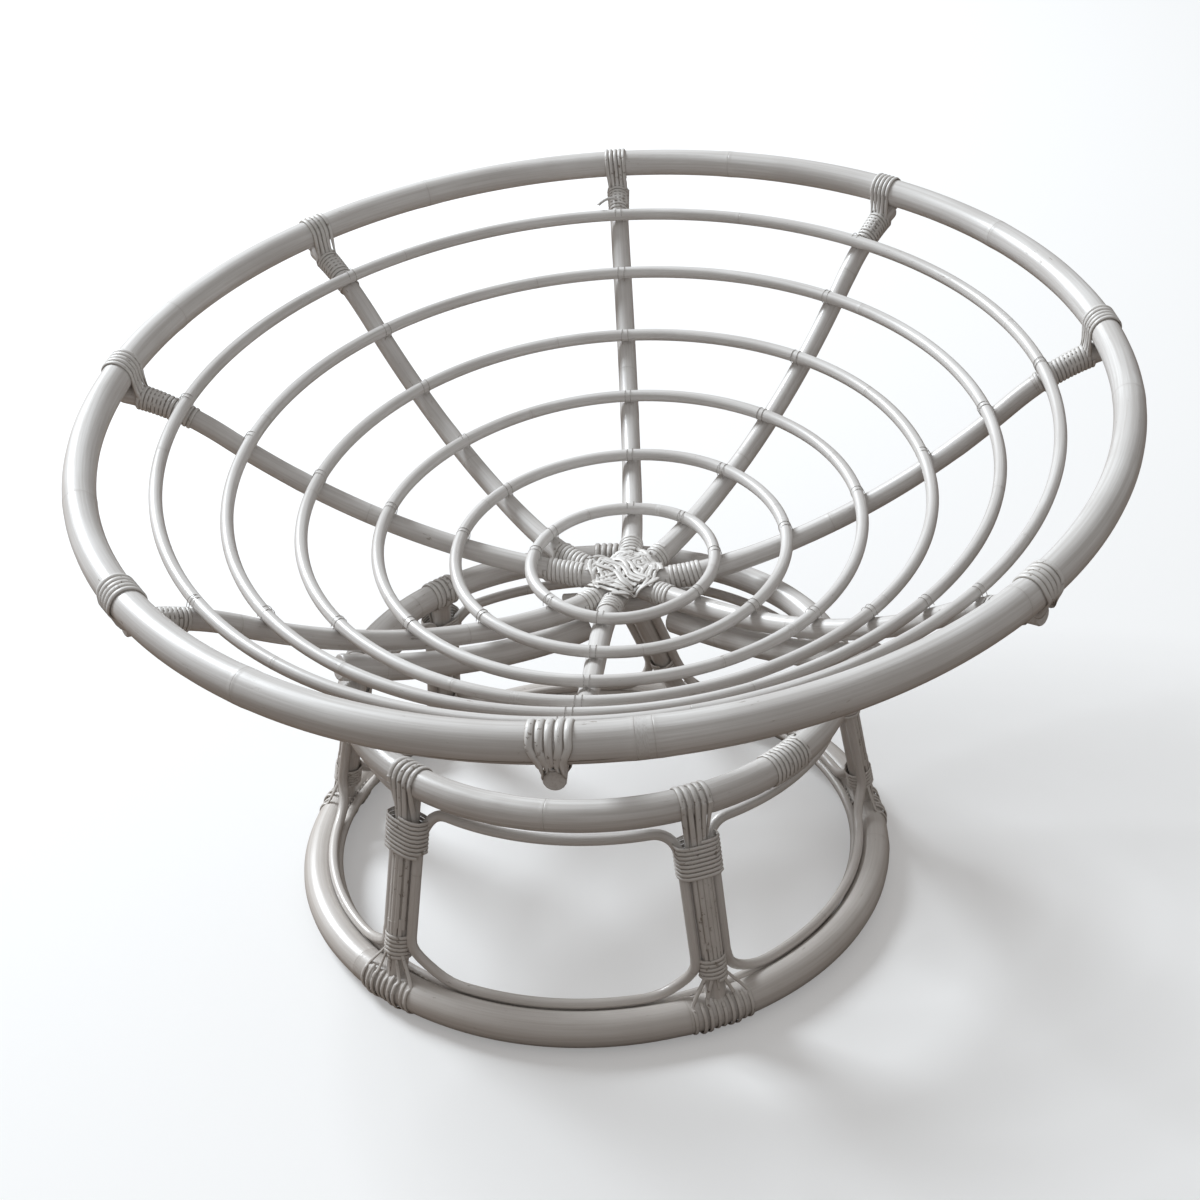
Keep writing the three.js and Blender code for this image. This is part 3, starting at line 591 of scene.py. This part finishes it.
for i in range(8):
    s = rib_meet(i, RIM_RADIUS)
    angle = math.atan2(rib_plan(i, s).x, rib_plan(i, s).y)
    centre, up = rim_place(angle)
    thick_rim = rim_radius(angle)
    outward = heading(angle)
    outward = (outward - up * outward.dot(up)).normalized()
    tangent = outward.cross(up).normalized()
    drawn_rim = taper(*RIM_DRAWN, angle)
    foot, _, _ = seat_on_ribs(RIM_RADIUS, RIB_RADIUS + thick_rim + TOUCH)
    below = s + foot - RIM_RADIUS
    strands = []
    pitch = SADDLE_PITCH[i]
    for k in range(-2, 3):
        shift = k * pitch + dice.uniform(-0.0003, 0.0003)
        lean = math.asin(max(min(shift / (RIB_THIN + 0.001), 0.94), -0.94))
        places, outs = [], []
        for back in (0.030, 0.022, 0.012, 0.004):
            rib_at, rib_up, rib_on = drawn_rib(i, below - thick_rim - back)
            out = rib_up * math.cos(lean) + rib_on.cross(rib_up) * math.sin(lean)
            sink = 0.0016 if back > 0.025 else 0
            places.append(rib_at + out * (RIB_THIN + CANE_THICK * 0.3 - sink))
            outs.append(out)
        for turn in range(11):
            a = math.radians(182 - turn * 20.5)
            out = outward * math.cos(a) + up * math.sin(a)
            # the strands draw together where they pass under the rim
            close = 1 - 0.16 * max(turn - 8, 0)
            places.append(centre + out * (drawn_rim + SADDLE_THICK * 0.45)
                          + tangent * shift * close)
            outs.append(out)
        for ahead in ((0.72, 0.45) if i == FRONT_RIB else (0.35, 0.10)):
            rib_at, rib_up, rib_on = drawn_rib(i, below + thick_rim * ahead)
            lean = k * 0.5
            out = rib_up * math.cos(lean) + rib_on.cross(rib_up) * math.sin(lean)
            places.append(rib_at + out * (RIB_THIN + 0.0004))
            outs.append(out)
        strands.append(bowl_strand(smoothed(places), smoothed(outs), pitch * 0.94,
                                   SADDLE_THICK * (0.6 + pitch * 45)))
    # the collar of turns on the inner side, which starts at the rim
    collar = winding(lambda at: drawn_rib(i, at), below - thick_rim + 0.001, -0.0040,
                     COLLAR_TURNS[i], RIB_THIN + 0.0022, math.pi / 2, RIB_THIN + 0.0009)
    strands.append(bowl_strand(*collar, 0.0040, 0.0012))
    if i == 0:
        # the collar's end was never trimmed and sticks out to the left
        rib_at, rib_up, rib_on = drawn_rib(i, below - thick_rim - 0.031)
        left = rib_up.cross(rib_on)
        tail = [rib_at + rib_up * (0.0110 + 0.0022 * j) + left * (0.0032 * j)
                + rib_on * (0.010 - 0.0004 * j * j) for j in range(8)]
        strands.append(bowl_strand(tail, [rib_up] * 8, 0.0036, 0.0026))
    cane_bundle(f"rim_lashing_{i + 1}_cane", strands, "bowl", [f"rim_lashing_{i + 1}"])

# At the hub the ribs are nailed to a short crosspiece underneath. Two more bent poles, the braces,
# lie under the ribs beside the front one and rest on the top ring.
HUB_POLE = 0.014
CROSSPIECE_HALF = 0.073
BRACE_START, BRACE_LENGTH, BRACE_STEPS = 0.060, 0.274, 40
cross_turn = (RIB_HEADINGS[2] + RIB_HEADINGS[6] - math.pi) / 2
cross_level = -(BALL_RADIUS + RIB_RADIUS + HUB_POLE + TOUCH)
half = heading(cross_turn) * CROSSPIECE_HALF
ends = [UP * cross_level + half * t for t in (-1, -0.5, 0, 0.5, 1)]
crosspiece = bent_pole("hub_crosspiece_bent", *sawn([in_bowl(p) for p in ends], [HUB_POLE] * 5))
crosspiece.data.materials.append(rib_paint)
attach(crosspiece, "bowl")
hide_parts("hub_crosspiece")

for side_name, i in (("right", 3), ("left", 5)):
    places = []
    for k in range(BRACE_STEPS + 1):
        place, up, _ = rib_frame(i, BRACE_START + BRACE_LENGTH * k / BRACE_STEPS)
        places.append(in_bowl(place - up * (RIB_RADIUS + HUB_POLE + TOUCH + 0.0006)))
    brace = bent_pole(f"hub_brace_{side_name}_bent", *sawn(places, [HUB_POLE] * len(places)))
    brace.data.materials.append(rib_paint)
    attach(brace, "bowl")
    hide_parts(f"hub_brace_{side_name}")

# Fine cane is wound on the ribs' inner ends, with more turns on the ribs at the sides, and woven
# over the place where they meet: strands fill each fork and run right across the middle.
HUB_CANE = 0.0050
# for each rib: where the winding starts, its turns and the side where it starts
HUB_WINDINGS = [(0.044, 4.5, 0.0), (0.046, 3.0, 0.5), (0.046, 7.5, 1.0), (0.042, 4.5, 1.4),
                (0.041, 4.5, 0.4), (0.042, 4.5, 2.0), (0.048, 8.5, 2.0), (0.046, 8.0, 0.0)]
HUB_LASHINGS = {2: ["hub_lashing_right"], 6: ["hub_lashing_left"]}
# where each strand across the middle points, and how far it passes from the centre
HUB_CHORDS = [(2.05, -0.010), (2.12, -0.0045), (2.02, 0.001), (2.1, 0.0065), (2.0, 0.0125),
              (0.35, -0.007), (0.28, -0.0015), (0.4, 0.0045)]

for i, (start, turns, phase) in enumerate(HUB_WINDINGS):
    coil = winding(lambda at: drawn_rib(i, at), start, HUB_CANE, turns, RIB_ROOT + 0.0003, phase)
    cane_bundle(f"hub_winding_{i + 1}", [bowl_strand(*coil, HUB_CANE)], "bowl",
                HUB_LASHINGS.get(i, []))


def hub_height(plan):
    """The ribs' upper side under a place near the hub, and lower between two ribs"""
    level = -math.sqrt(BALL_RADIUS ** 2 - plan.length_squared)
    reach, drop, rise = 0.019, 0.011, 0.0
    for i in range(8):
        s = max(plan.dot(heading(RIB_HEADINGS[i])), 0.0)
        aside = (plan - rib_plan(i, s)).length
        rise = max(rise, math.sqrt(max(1 - (aside / reach) ** 2, 0)))
    return level + RIB_RADIUS - drop * (1 - rise)


def laid_over_hub(plans, lift, width):
    places = [plan + UP * (hub_height(plan) + lift) for plan in plans]
    return bowl_strand(places, [UP - plan / BALL_RADIUS for plan in plans], width)


weave = []
for i in range(8):
    # strands that fill the fork between two ribs and end on their backs
    begin, end = RIB_HEADINGS[i], RIB_HEADINGS[(i + 1) % 8]
    end += 2 * math.pi * (end < begin)
    for k in range(5):
        far = 0.022 + 0.0049 * k + dice.uniform(-0.001, 0.001)
        past = 0.30 if (i + k) % 2 else 0.12
        skew = dice.uniform(-0.003, 0.003)
        plans = []
        for j in range(17):
            share = j / 16
            turn = begin - past + (end - begin + 2 * past) * share
            dip = math.sin(math.pi * share) ** 2
            plans.append(heading(turn) * (far - 0.007 * dip + skew * (share - 0.5)))
        weave.append(laid_over_hub(plans, 0.0016 + 0.0009 * ((i + k) % 2), 0.0056))
for along, aside in HUB_CHORDS:
    plans = []
    for j in range(-8, 9):
        bend = 0.003 * math.sin(j * 0.5 + along * 9)
        plans.append(heading(along) * (0.0036 * j) + across(along) * (aside + bend))
    lift = 0.0038 if along > 1 else 0.0026
    weave.append(laid_over_hub(plans, lift + 0.0006 * math.sin(aside * 700), 0.0055))
cane_bundle("hub_weave", weave, "bowl", [])

# The floor ring is the stand's thickest pole, bent flat. A thin rod is sprung inside it, and the
# top ring, which carries the bowl, is a lighter ring of pole, spliced at the right front.
STAND = Vector((0.03374, -0.14287, 0))
FLOOR_RADIUS, FLOOR_BUTT, FLOOR_TIP = 0.311, 0.038, 0.031
TOP_RADIUS, TOP_BUTT, TOP_TIP = 0.2555, 0.032, 0.027
RING_STEPS, FLOOR_STEP, TOP_STEP = 240, 0.00814, 0.00669
FLOOR_KNOTS = 0.37
LINER_RADIUS, LINER_RISE = 0.005, math.radians(18)
FLOOR_UNDER = 0.0025
FLOOR_MIDDLE = FLOOR_UNDER + (FLOOR_BUTT + FLOOR_TIP) / 4
TOP_CENTRE = Vector((0.0124, 0.002, FLOOR_MIDDLE + 0.224))
TOP_LEAN = (Matrix.Rotation(math.radians(-1), 3, "Y")
            @ Matrix.Rotation(math.radians(-1.6), 3, "X"))
BALL_IN_STAND = BALL - STAND
floor_paint = painted_pole("painted_pole", FLOOR_KNOTS)


def floor_pole(angle):
    return taper(FLOOR_BUTT, FLOOR_TIP, angle)


def top_pole(angle):
    return taper(TOP_BUTT, TOP_TIP, angle)


def on_floor_ring(angle):
    return heading(angle) * FLOOR_RADIUS + UP * (FLOOR_UNDER + floor_pole(angle))


def on_top_ring(angle):
    return TOP_LEAN @ (heading(angle) * TOP_RADIUS) + TOP_CENTRE


ring_angles = [2 * math.pi * k / RING_STEPS for k in range(RING_STEPS)]
floor_ring = bent_pole(
    "floor_ring_bent", [STAND + on_floor_ring(a) for a in ring_angles],
    [floor_pole(a) * swell(k * FLOOR_STEP, FLOOR_KNOTS) for k, a in enumerate(ring_angles)],
    closed=True, sides=9)
liner_places = []
for a in ring_angles:
    away = heading(a) * -math.cos(LINER_RISE) + UP * math.sin(LINER_RISE)
    liner_places.append(STAND + on_floor_ring(a) + away * (floor_pole(a) + LINER_RADIUS + TOUCH))
liner = bent_pole("floor_ring_liner_bent", liner_places, [LINER_RADIUS] * RING_STEPS,
                  closed=True, sides=4)
top_ring = bent_pole(
    "top_ring_bent", [STAND + on_top_ring(a) for a in ring_angles],
    [top_pole(a) * swell(k * TOP_STEP, RIB_KNOTS) for k, a in enumerate(ring_angles)],
    closed=True, sides=8)
for ring, paint, slot, node in ((floor_ring, floor_paint, "pole", "floor_ring"),
                                (liner, rod_paint, "rod", "floor_ring_liner"),
                                (top_ring, rib_paint, "pole", "top_ring")):
    ring.data.materials.append(paint)
    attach(ring, "stand")
    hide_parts(node)

# Six short posts of peeled pole stand between the rings, each nailed to both. They lean inwards,
# since the top ring is the smaller one, and no two of them lean alike.
POSTS = [(math.radians(f), math.radians(h)) for f, h in
         ((-8, -23.5), (54.5, 57), (130, 132.5), (196, 198.5), (262.5, 254), (296.5, 290))]
POST_RADIUS = 0.0110
POST_STEPS, POST_STEP = 24, 0.008
# each end stops inside its ring, at this share of the ring's own radius from its middle
POST_SINK = 0.7


def post_frame(p, share):
    """A post's axis at a share of its height, its outer side and its direction upwards"""
    foot, head = on_floor_ring(POSTS[p][0]), on_top_ring(POSTS[p][1])
    place = mixed(foot, head, share)
    along = (head - foot).normalized()
    outward = Vector((place.x, place.y, 0)).normalized()
    outward = (outward - along * outward.dot(along)).normalized()
    return place, outward, along


def post_height(p):
    return (on_top_ring(POSTS[p][1]) - on_floor_ring(POSTS[p][0])).length


for p in range(6):
    low = floor_pole(POSTS[p][0]) * POST_SINK / post_height(p)
    high = 1 - top_pole(POSTS[p][1]) * POST_SINK / post_height(p)
    places, radii = [], []
    for k in range(POST_STEPS + 1):
        places.append(STAND + post_frame(p, low + (high - low) * k / POST_STEPS)[0])
        radii.append(POST_RADIUS * swell(k * POST_STEP, RIB_KNOTS, p * 0.05))
    post = bent_pole(f"post_{p + 1}_pole", places, radii)
    post.data.materials.append(rib_paint)
    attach(post, "stand")
    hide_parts(f"post_{p + 1}")

# A closed loop of thin rod with rounded corners fills each space between two posts. Its sides
# stand at the posts, which they are tied to, and its bars follow the two rings.
LOOP_RADIUS = 0.0055
LOOP_ROOM = 0.00035
TOP_BAR_DROP = 0.009


def wrapped(angle):
    return math.atan2(math.sin(angle), math.cos(angle))


def top_above(angle):
    """The top ring's middle in this heading as seen from the floor ring's centre"""
    turned = angle
    for _ in range(8):
        place = on_top_ring(turned)
        turned -= wrapped(math.atan2(place.x, place.y) - angle)
    return on_top_ring(turned)


def panel_heading(left, right, u, z):
    """The heading at height z of a share of the way, -1 to 1, from one post to the next"""
    flank = POST_RADIUS + LOOP_RADIUS + LOOP_ROOM
    sides = []
    for p in (left, right):
        foot, head = on_floor_ring(POSTS[p][0]), on_top_ring(POSTS[p][1])
        place = mixed(foot, head, (z - foot.z) / (head.z - foot.z))
        turned = math.atan2(place.x, place.y)
        slant = (head - foot).normalized().dot(across(turned))
        edge = math.asin(flank / math.sqrt(1 - slant * slant) / math.hypot(place.x, place.y))
        sides.append((turned, edge))
    (one, edge_one), (other, edge_other) = sides
    if other < one:
        other += 2 * math.pi
    return mixed(one + edge_one, other - edge_other, (u + 1) / 2)


def loop_seat(place, room, angle, sag):
    """Where a bar lies on the inner side of a ring, at an angle above or below its middle"""
    inwards = Vector((-place.x, -place.y, 0)).normalized()
    away = inwards * math.cos(angle) + UP * math.sin(angle)
    return place + away * (room + LOOP_RADIUS + sag)


def loop_place(left, right, u, v):
    """A place on a loop, u from post to post and v from bar to bar, both -1 to 1"""
    share = (v + 1) / 2
    place = Vector((0, 0, mixed(FLOOR_MIDDLE, TOP_CENTRE.z, share)))
    for _ in range(4):
        angle = panel_heading(left, right, u, place.z)
        low, high = on_floor_ring(angle), top_above(angle)
        below = loop_seat(low, floor_pole(angle) + LOOP_ROOM, math.radians(44), 0.0012)
        room = top_pole(angle) + LOOP_ROOM + TOP_BAR_DROP
        above = loop_seat(high, room, -math.radians(84), 0.0009)
        seat = mixed(below, above, share)
        upright = mixed(low, high, (seat.z - low.z) / (high.z - low.z))
        lean = min(max((abs(v) - 0.55) / 0.45, 0), 1)
        place = mixed(upright, seat, lean * lean * (3 - 2 * lean))
    return place


for p in range(6):
    q = (p + 1) % 6
    wide = (post_frame(p, 0.5)[0] - post_frame(q, 0.5)[0]).length / 2 - POST_RADIUS - LOOP_RADIUS
    tall = (post_height(p) + post_height(q)) / 4 - (FLOOR_BUTT + TOP_BUTT) / 4
    outline = []
    for quarter, (sign_u, sign_v) in enumerate(((1, 1), (-1, 1), (-1, -1), (1, -1))):
        corner = 0.026 if quarter < 2 else 0.050
        corner_u, corner_v = min(corner / wide, 1), min(corner / tall, 1)
        for k in range(9):
            a = math.pi / 2 * (quarter + k / 8)
            outline.append((sign_u * (1 - corner_u) + corner_u * math.cos(a),
                            sign_v * (1 - corner_v) + corner_v * math.sin(a)))
    places = []
    for k, (u, v) in enumerate(outline):
        next_u, next_v = outline[(k + 1) % len(outline)]
        parts = max(1, round(math.hypot((next_u - u) * wide, (next_v - v) * tall) / 0.006))
        for j in range(parts):
            places.append(STAND + loop_place(p, q, mixed(u, next_u, j / parts),
                                             mixed(v, next_v, j / parts)))
    loop = bent_pole(f"panel_loop_{p + 1}_bent", places, [LOOP_RADIUS] * len(places),
                     closed=True, sides=4)
    loop.data.materials.append(rod_paint)
    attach(loop, "stand")
    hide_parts(f"panel_loop_{p + 1}")

# Cane ties each post to both rings: strands saddle the top ring, run down the post's face and fan
# out round the floor ring. Turns round the post, the loops' sides and the strands bind them
# near the head, and narrower turns bind the post above the foot.
BINDING_TURNS, BINDING_STEP, BINDING_AT = 8.2, 0.0047, 0.755
FOOT_TURNS, FOOT_STEP, FOOT_AT = 5.5, 0.0047, 0.165
HEAD_SPACING, FOOT_SPACING = 0.0068, 0.0150
OVER_TOP_RING = 236, 214, 192, 170, 148, 126, 104, 82, 60, 38, 16, -2, -16
ROUND_FLOOR_RING = 72, 50, 28, 6, -16, -38, -60, -82, -104, -126, -148, -170, -192, -214
LOWEST_CANE = 0.0008


def binding(p):
    """Turns round a post with the sides of its two loops, in a rounded outline"""
    flank = POST_RADIUS + 2 * LOOP_RADIUS + 0.0016
    face, back = POST_RADIUS + 0.0034, 0.0135
    steps, height = 20, post_height(p)
    start = height * BINDING_AT + BINDING_TURNS * BINDING_STEP / 2
    places, outs = [], []
    for k in range(int(BINDING_TURNS * steps) + 1):
        x, y = math.sin(2 * math.pi * k / steps), math.cos(2 * math.pi * k / steps)
        far = (abs(x / flank) ** 3 + abs(y / (face if y > 0 else back)) ** 3) ** (1 / 3)
        place, outward, along = post_frame(p, (start - BINDING_STEP * k / steps) / height)
        across_it, out_of_it = along.cross(outward) * (x / far), outward * (y / far)
        places.append(STAND + place + across_it + out_of_it)
        outs.append((across_it * 0.5 + out_of_it).normalized())
    return places, outs, 0.0043


def on_post(p, share, x, lift):
    """A place on a post's face, x to the side of its middle, and the side that faces out there"""
    place, face, along = post_frame(p, share)
    out = face * math.sqrt(max((POST_RADIUS + lift) ** 2 - x * x, 0)) + along.cross(face) * x
    return place + out, out.normalized()


def round_ring(middle, outward, up, reach, degrees):
    """Places round a ring at these angles above its outer side, and the sides that face out"""
    outs = [outward * math.cos(math.radians(d)) + up * math.sin(math.radians(d)) for d in degrees]
    return [(middle + out * reach, out) for out in outs]


def flat(place):
    return Vector((place.x, place.y, 0)).normalized()


def stand_strand(strand, *size):
    """A strand as cane_bundle takes it, from its places in the stand"""
    places, outs = zip(*strand)
    return ([STAND + place for place in smoothed(places)],
            [out.normalized() for out in smoothed(outs)], *size)


for p, (foot_turn, head_turn) in enumerate(POSTS):
    low, high = [], []
    for k in range(-2, 3):
        shift = k * HEAD_SPACING + dice.uniform(-0.0005, 0.0005)
        middle = on_top_ring(head_turn + shift / TOP_RADIUS)
        ring_up = (BALL_IN_STAND - middle).normalized()
        outward = flat(middle)
        outward = (outward - ring_up * outward.dot(ring_up)).normalized()
        strand = round_ring(middle, outward, ring_up, top_pole(head_turn) + CANE_THICK * 0.7,
                            OVER_TOP_RING)
        for share in (0.83, 0.76, 0.68, 0.6, 0.48, 0.40, dice.uniform(0.28, 0.33)):
            x = -shift * mixed(0.72, 0.95, max(share - 0.7, 0) / 0.3)
            strand.append(on_post(p, share, x, 0.0010))
        high.append(stand_strand(strand, 0.0060, 0.0024))
        # the lower strands start under the upper ones and fan out round the floor ring
        spread = k * FOOT_SPACING + dice.uniform(-0.0010, 0.0010)
        middle = on_floor_ring(foot_turn + spread / FLOOR_RADIUS)
        strand = []
        for share in (dice.uniform(0.33, 0.36), 0.31, 0.27, 0.23, 0.19):
            x = -k * 0.0044 * (1 + max(0, 0.25 - share) * 4)
            strand.append(on_post(p, share, x, 0.0016))
        reach = floor_pole(foot_turn) + CANE_THICK * 0.7 + (0.0012 if k % 2 else 0)
        ring = round_ring(middle, flat(middle), UP, reach, ROUND_FLOOR_RING)
        for place, _ in ring:
            place.z = max(place.z, LOWEST_CANE)
        low.append(stand_strand(strand + ring, 0.0046, 0.0020))
        # a turn beside it that only goes round the ring
        if k < 2:
            beside = across(foot_turn) * 0.0072
            low.append(stand_strand([(place + beside, out) for place, out in ring],
                                    0.0044, 0.0018))
    high.append(binding(p))
    cane_bundle(f"top_lashing_{p + 1}_cane", high, "stand", [f"top_lashing_{p + 1}"])
    height = post_height(p)
    coil = winding(lambda at: post_frame(p, at / height), height * FOOT_AT, FOOT_STEP, FOOT_TURNS,
                   POST_RADIUS + 0.0036)
    low.append(([STAND + place for place in coil[0]], coil[1], 0.0045))
    cane_bundle(f"foot_lashing_{p + 1}_cane", low, "stand", [f"foot_lashing_{p + 1}"])

# Where the top ring's ends are spliced, at the right front, cane is wound closely round it.
SPLICE_FROM, SPLICE_STEP, SPLICE_TURNS = math.radians(101), math.radians(1.22), 9.5
splice = winding(
    lambda a: (STAND + on_top_ring(a), (BALL_IN_STAND - on_top_ring(a)).normalized(), across(a)),
    SPLICE_FROM, SPLICE_STEP, SPLICE_TURNS, top_pole(math.radians(104)) + CANE_THICK * 0.8)
cane_bundle("top_ring_splice", [(*splice, 0.0050)], "stand", [])

# A pale floor, and plain studio light: one large soft lamp from the back left, a weaker one from
# the front and an even sky. The camera sees a paler floor than the one that lights the chair.
TARGET = Vector((0, -0.1, 0.3))


def floor_finish():
    finish = Finish("pale_floor")
    seen = finish.node("ShaderNodeLightPath", {}, {}, "Is Camera Ray")
    matt = finish.node("ShaderNodeBsdfDiffuse", {}, {"Color": (0.70, 0.70, 0.70, 1)})
    glow = finish.node("ShaderNodeEmission", {}, {"Color": (1, 1, 1, 1), "Strength": 0.24})
    both = finish.node("ShaderNodeAddShader", {}, {0: matt, 1: glow})
    dim = finish.node("ShaderNodeBsdfDiffuse", {}, {"Color": (0.15, 0.105, 0.075, 1)})
    finish.node_output(finish.node("ShaderNodeMixShader", {}, {0: seen, 1: dim, 2: both}))
    return finish.material


deselect()
bpy.ops.mesh.primitive_grid_add(x_subdivisions=8, y_subdivisions=8, size=40, location=(0, 0, 0))
floor = bpy.context.object
floor.name = "floor"
floor.data.materials.append(floor_finish())


def soft_lamp(name, place, size, power):
    lamp_data = bpy.data.lights.new(name, "AREA")
    lamp_data.shape = "DISK"
    lamp_data.size = size
    lamp_data.energy = power
    lamp_data.color = (0.90, 0.955, 1.0)
    lamp = bpy.data.objects.new(name, lamp_data)
    lamp.location = place
    lamp.rotation_euler = (TARGET - Vector(place)).to_track_quat("-Z", "Y").to_euler()
    bpy.context.collection.objects.link(lamp)


soft_lamp("back_left_lamp", (-5.5, 1.6, 4.6), 3.0, 640)
soft_lamp("front_lamp", (1.8, -3.2, 2.6), 2.6, 5)

world = bpy.data.worlds.new("studio")
bpy.context.scene.world = world
world.use_nodes = True
sky = world.node_tree.nodes["Background"]
sky.inputs["Color"].default_value = (1, 0.975, 0.95, 1)
sky.inputs["Strength"].default_value = 0.35

# The camera stands high at the front right, like the photograph's. The chair fills the frame off
# the lens's axis, so the frame is shifted up and to the left.
camera_data = bpy.data.cameras.new("camera")
camera_data.sensor_width = 36
camera_data.lens = 60.134
camera_data.shift_x = -0.14501
camera_data.shift_y = 0.38787
camera_data.clip_end = 100
camera = bpy.data.objects.new("camera", camera_data)
bpy.context.collection.objects.link(camera)
right = Vector((0.91956, 0.39295, -0.00097))
down = Vector((0.27332, -0.64139, -0.71688))
ahead = Vector((-0.28232, 0.65895, -0.6972))
turned = Matrix((right, -down, -ahead)).transposed().to_4x4()
turned.translation = Vector((0.92517, -1.72076, 1.41948))
camera.matrix_world = turned
bpy.context.scene.camera = camera
bpy.context.scene.view_settings.view_transform = "Standard"
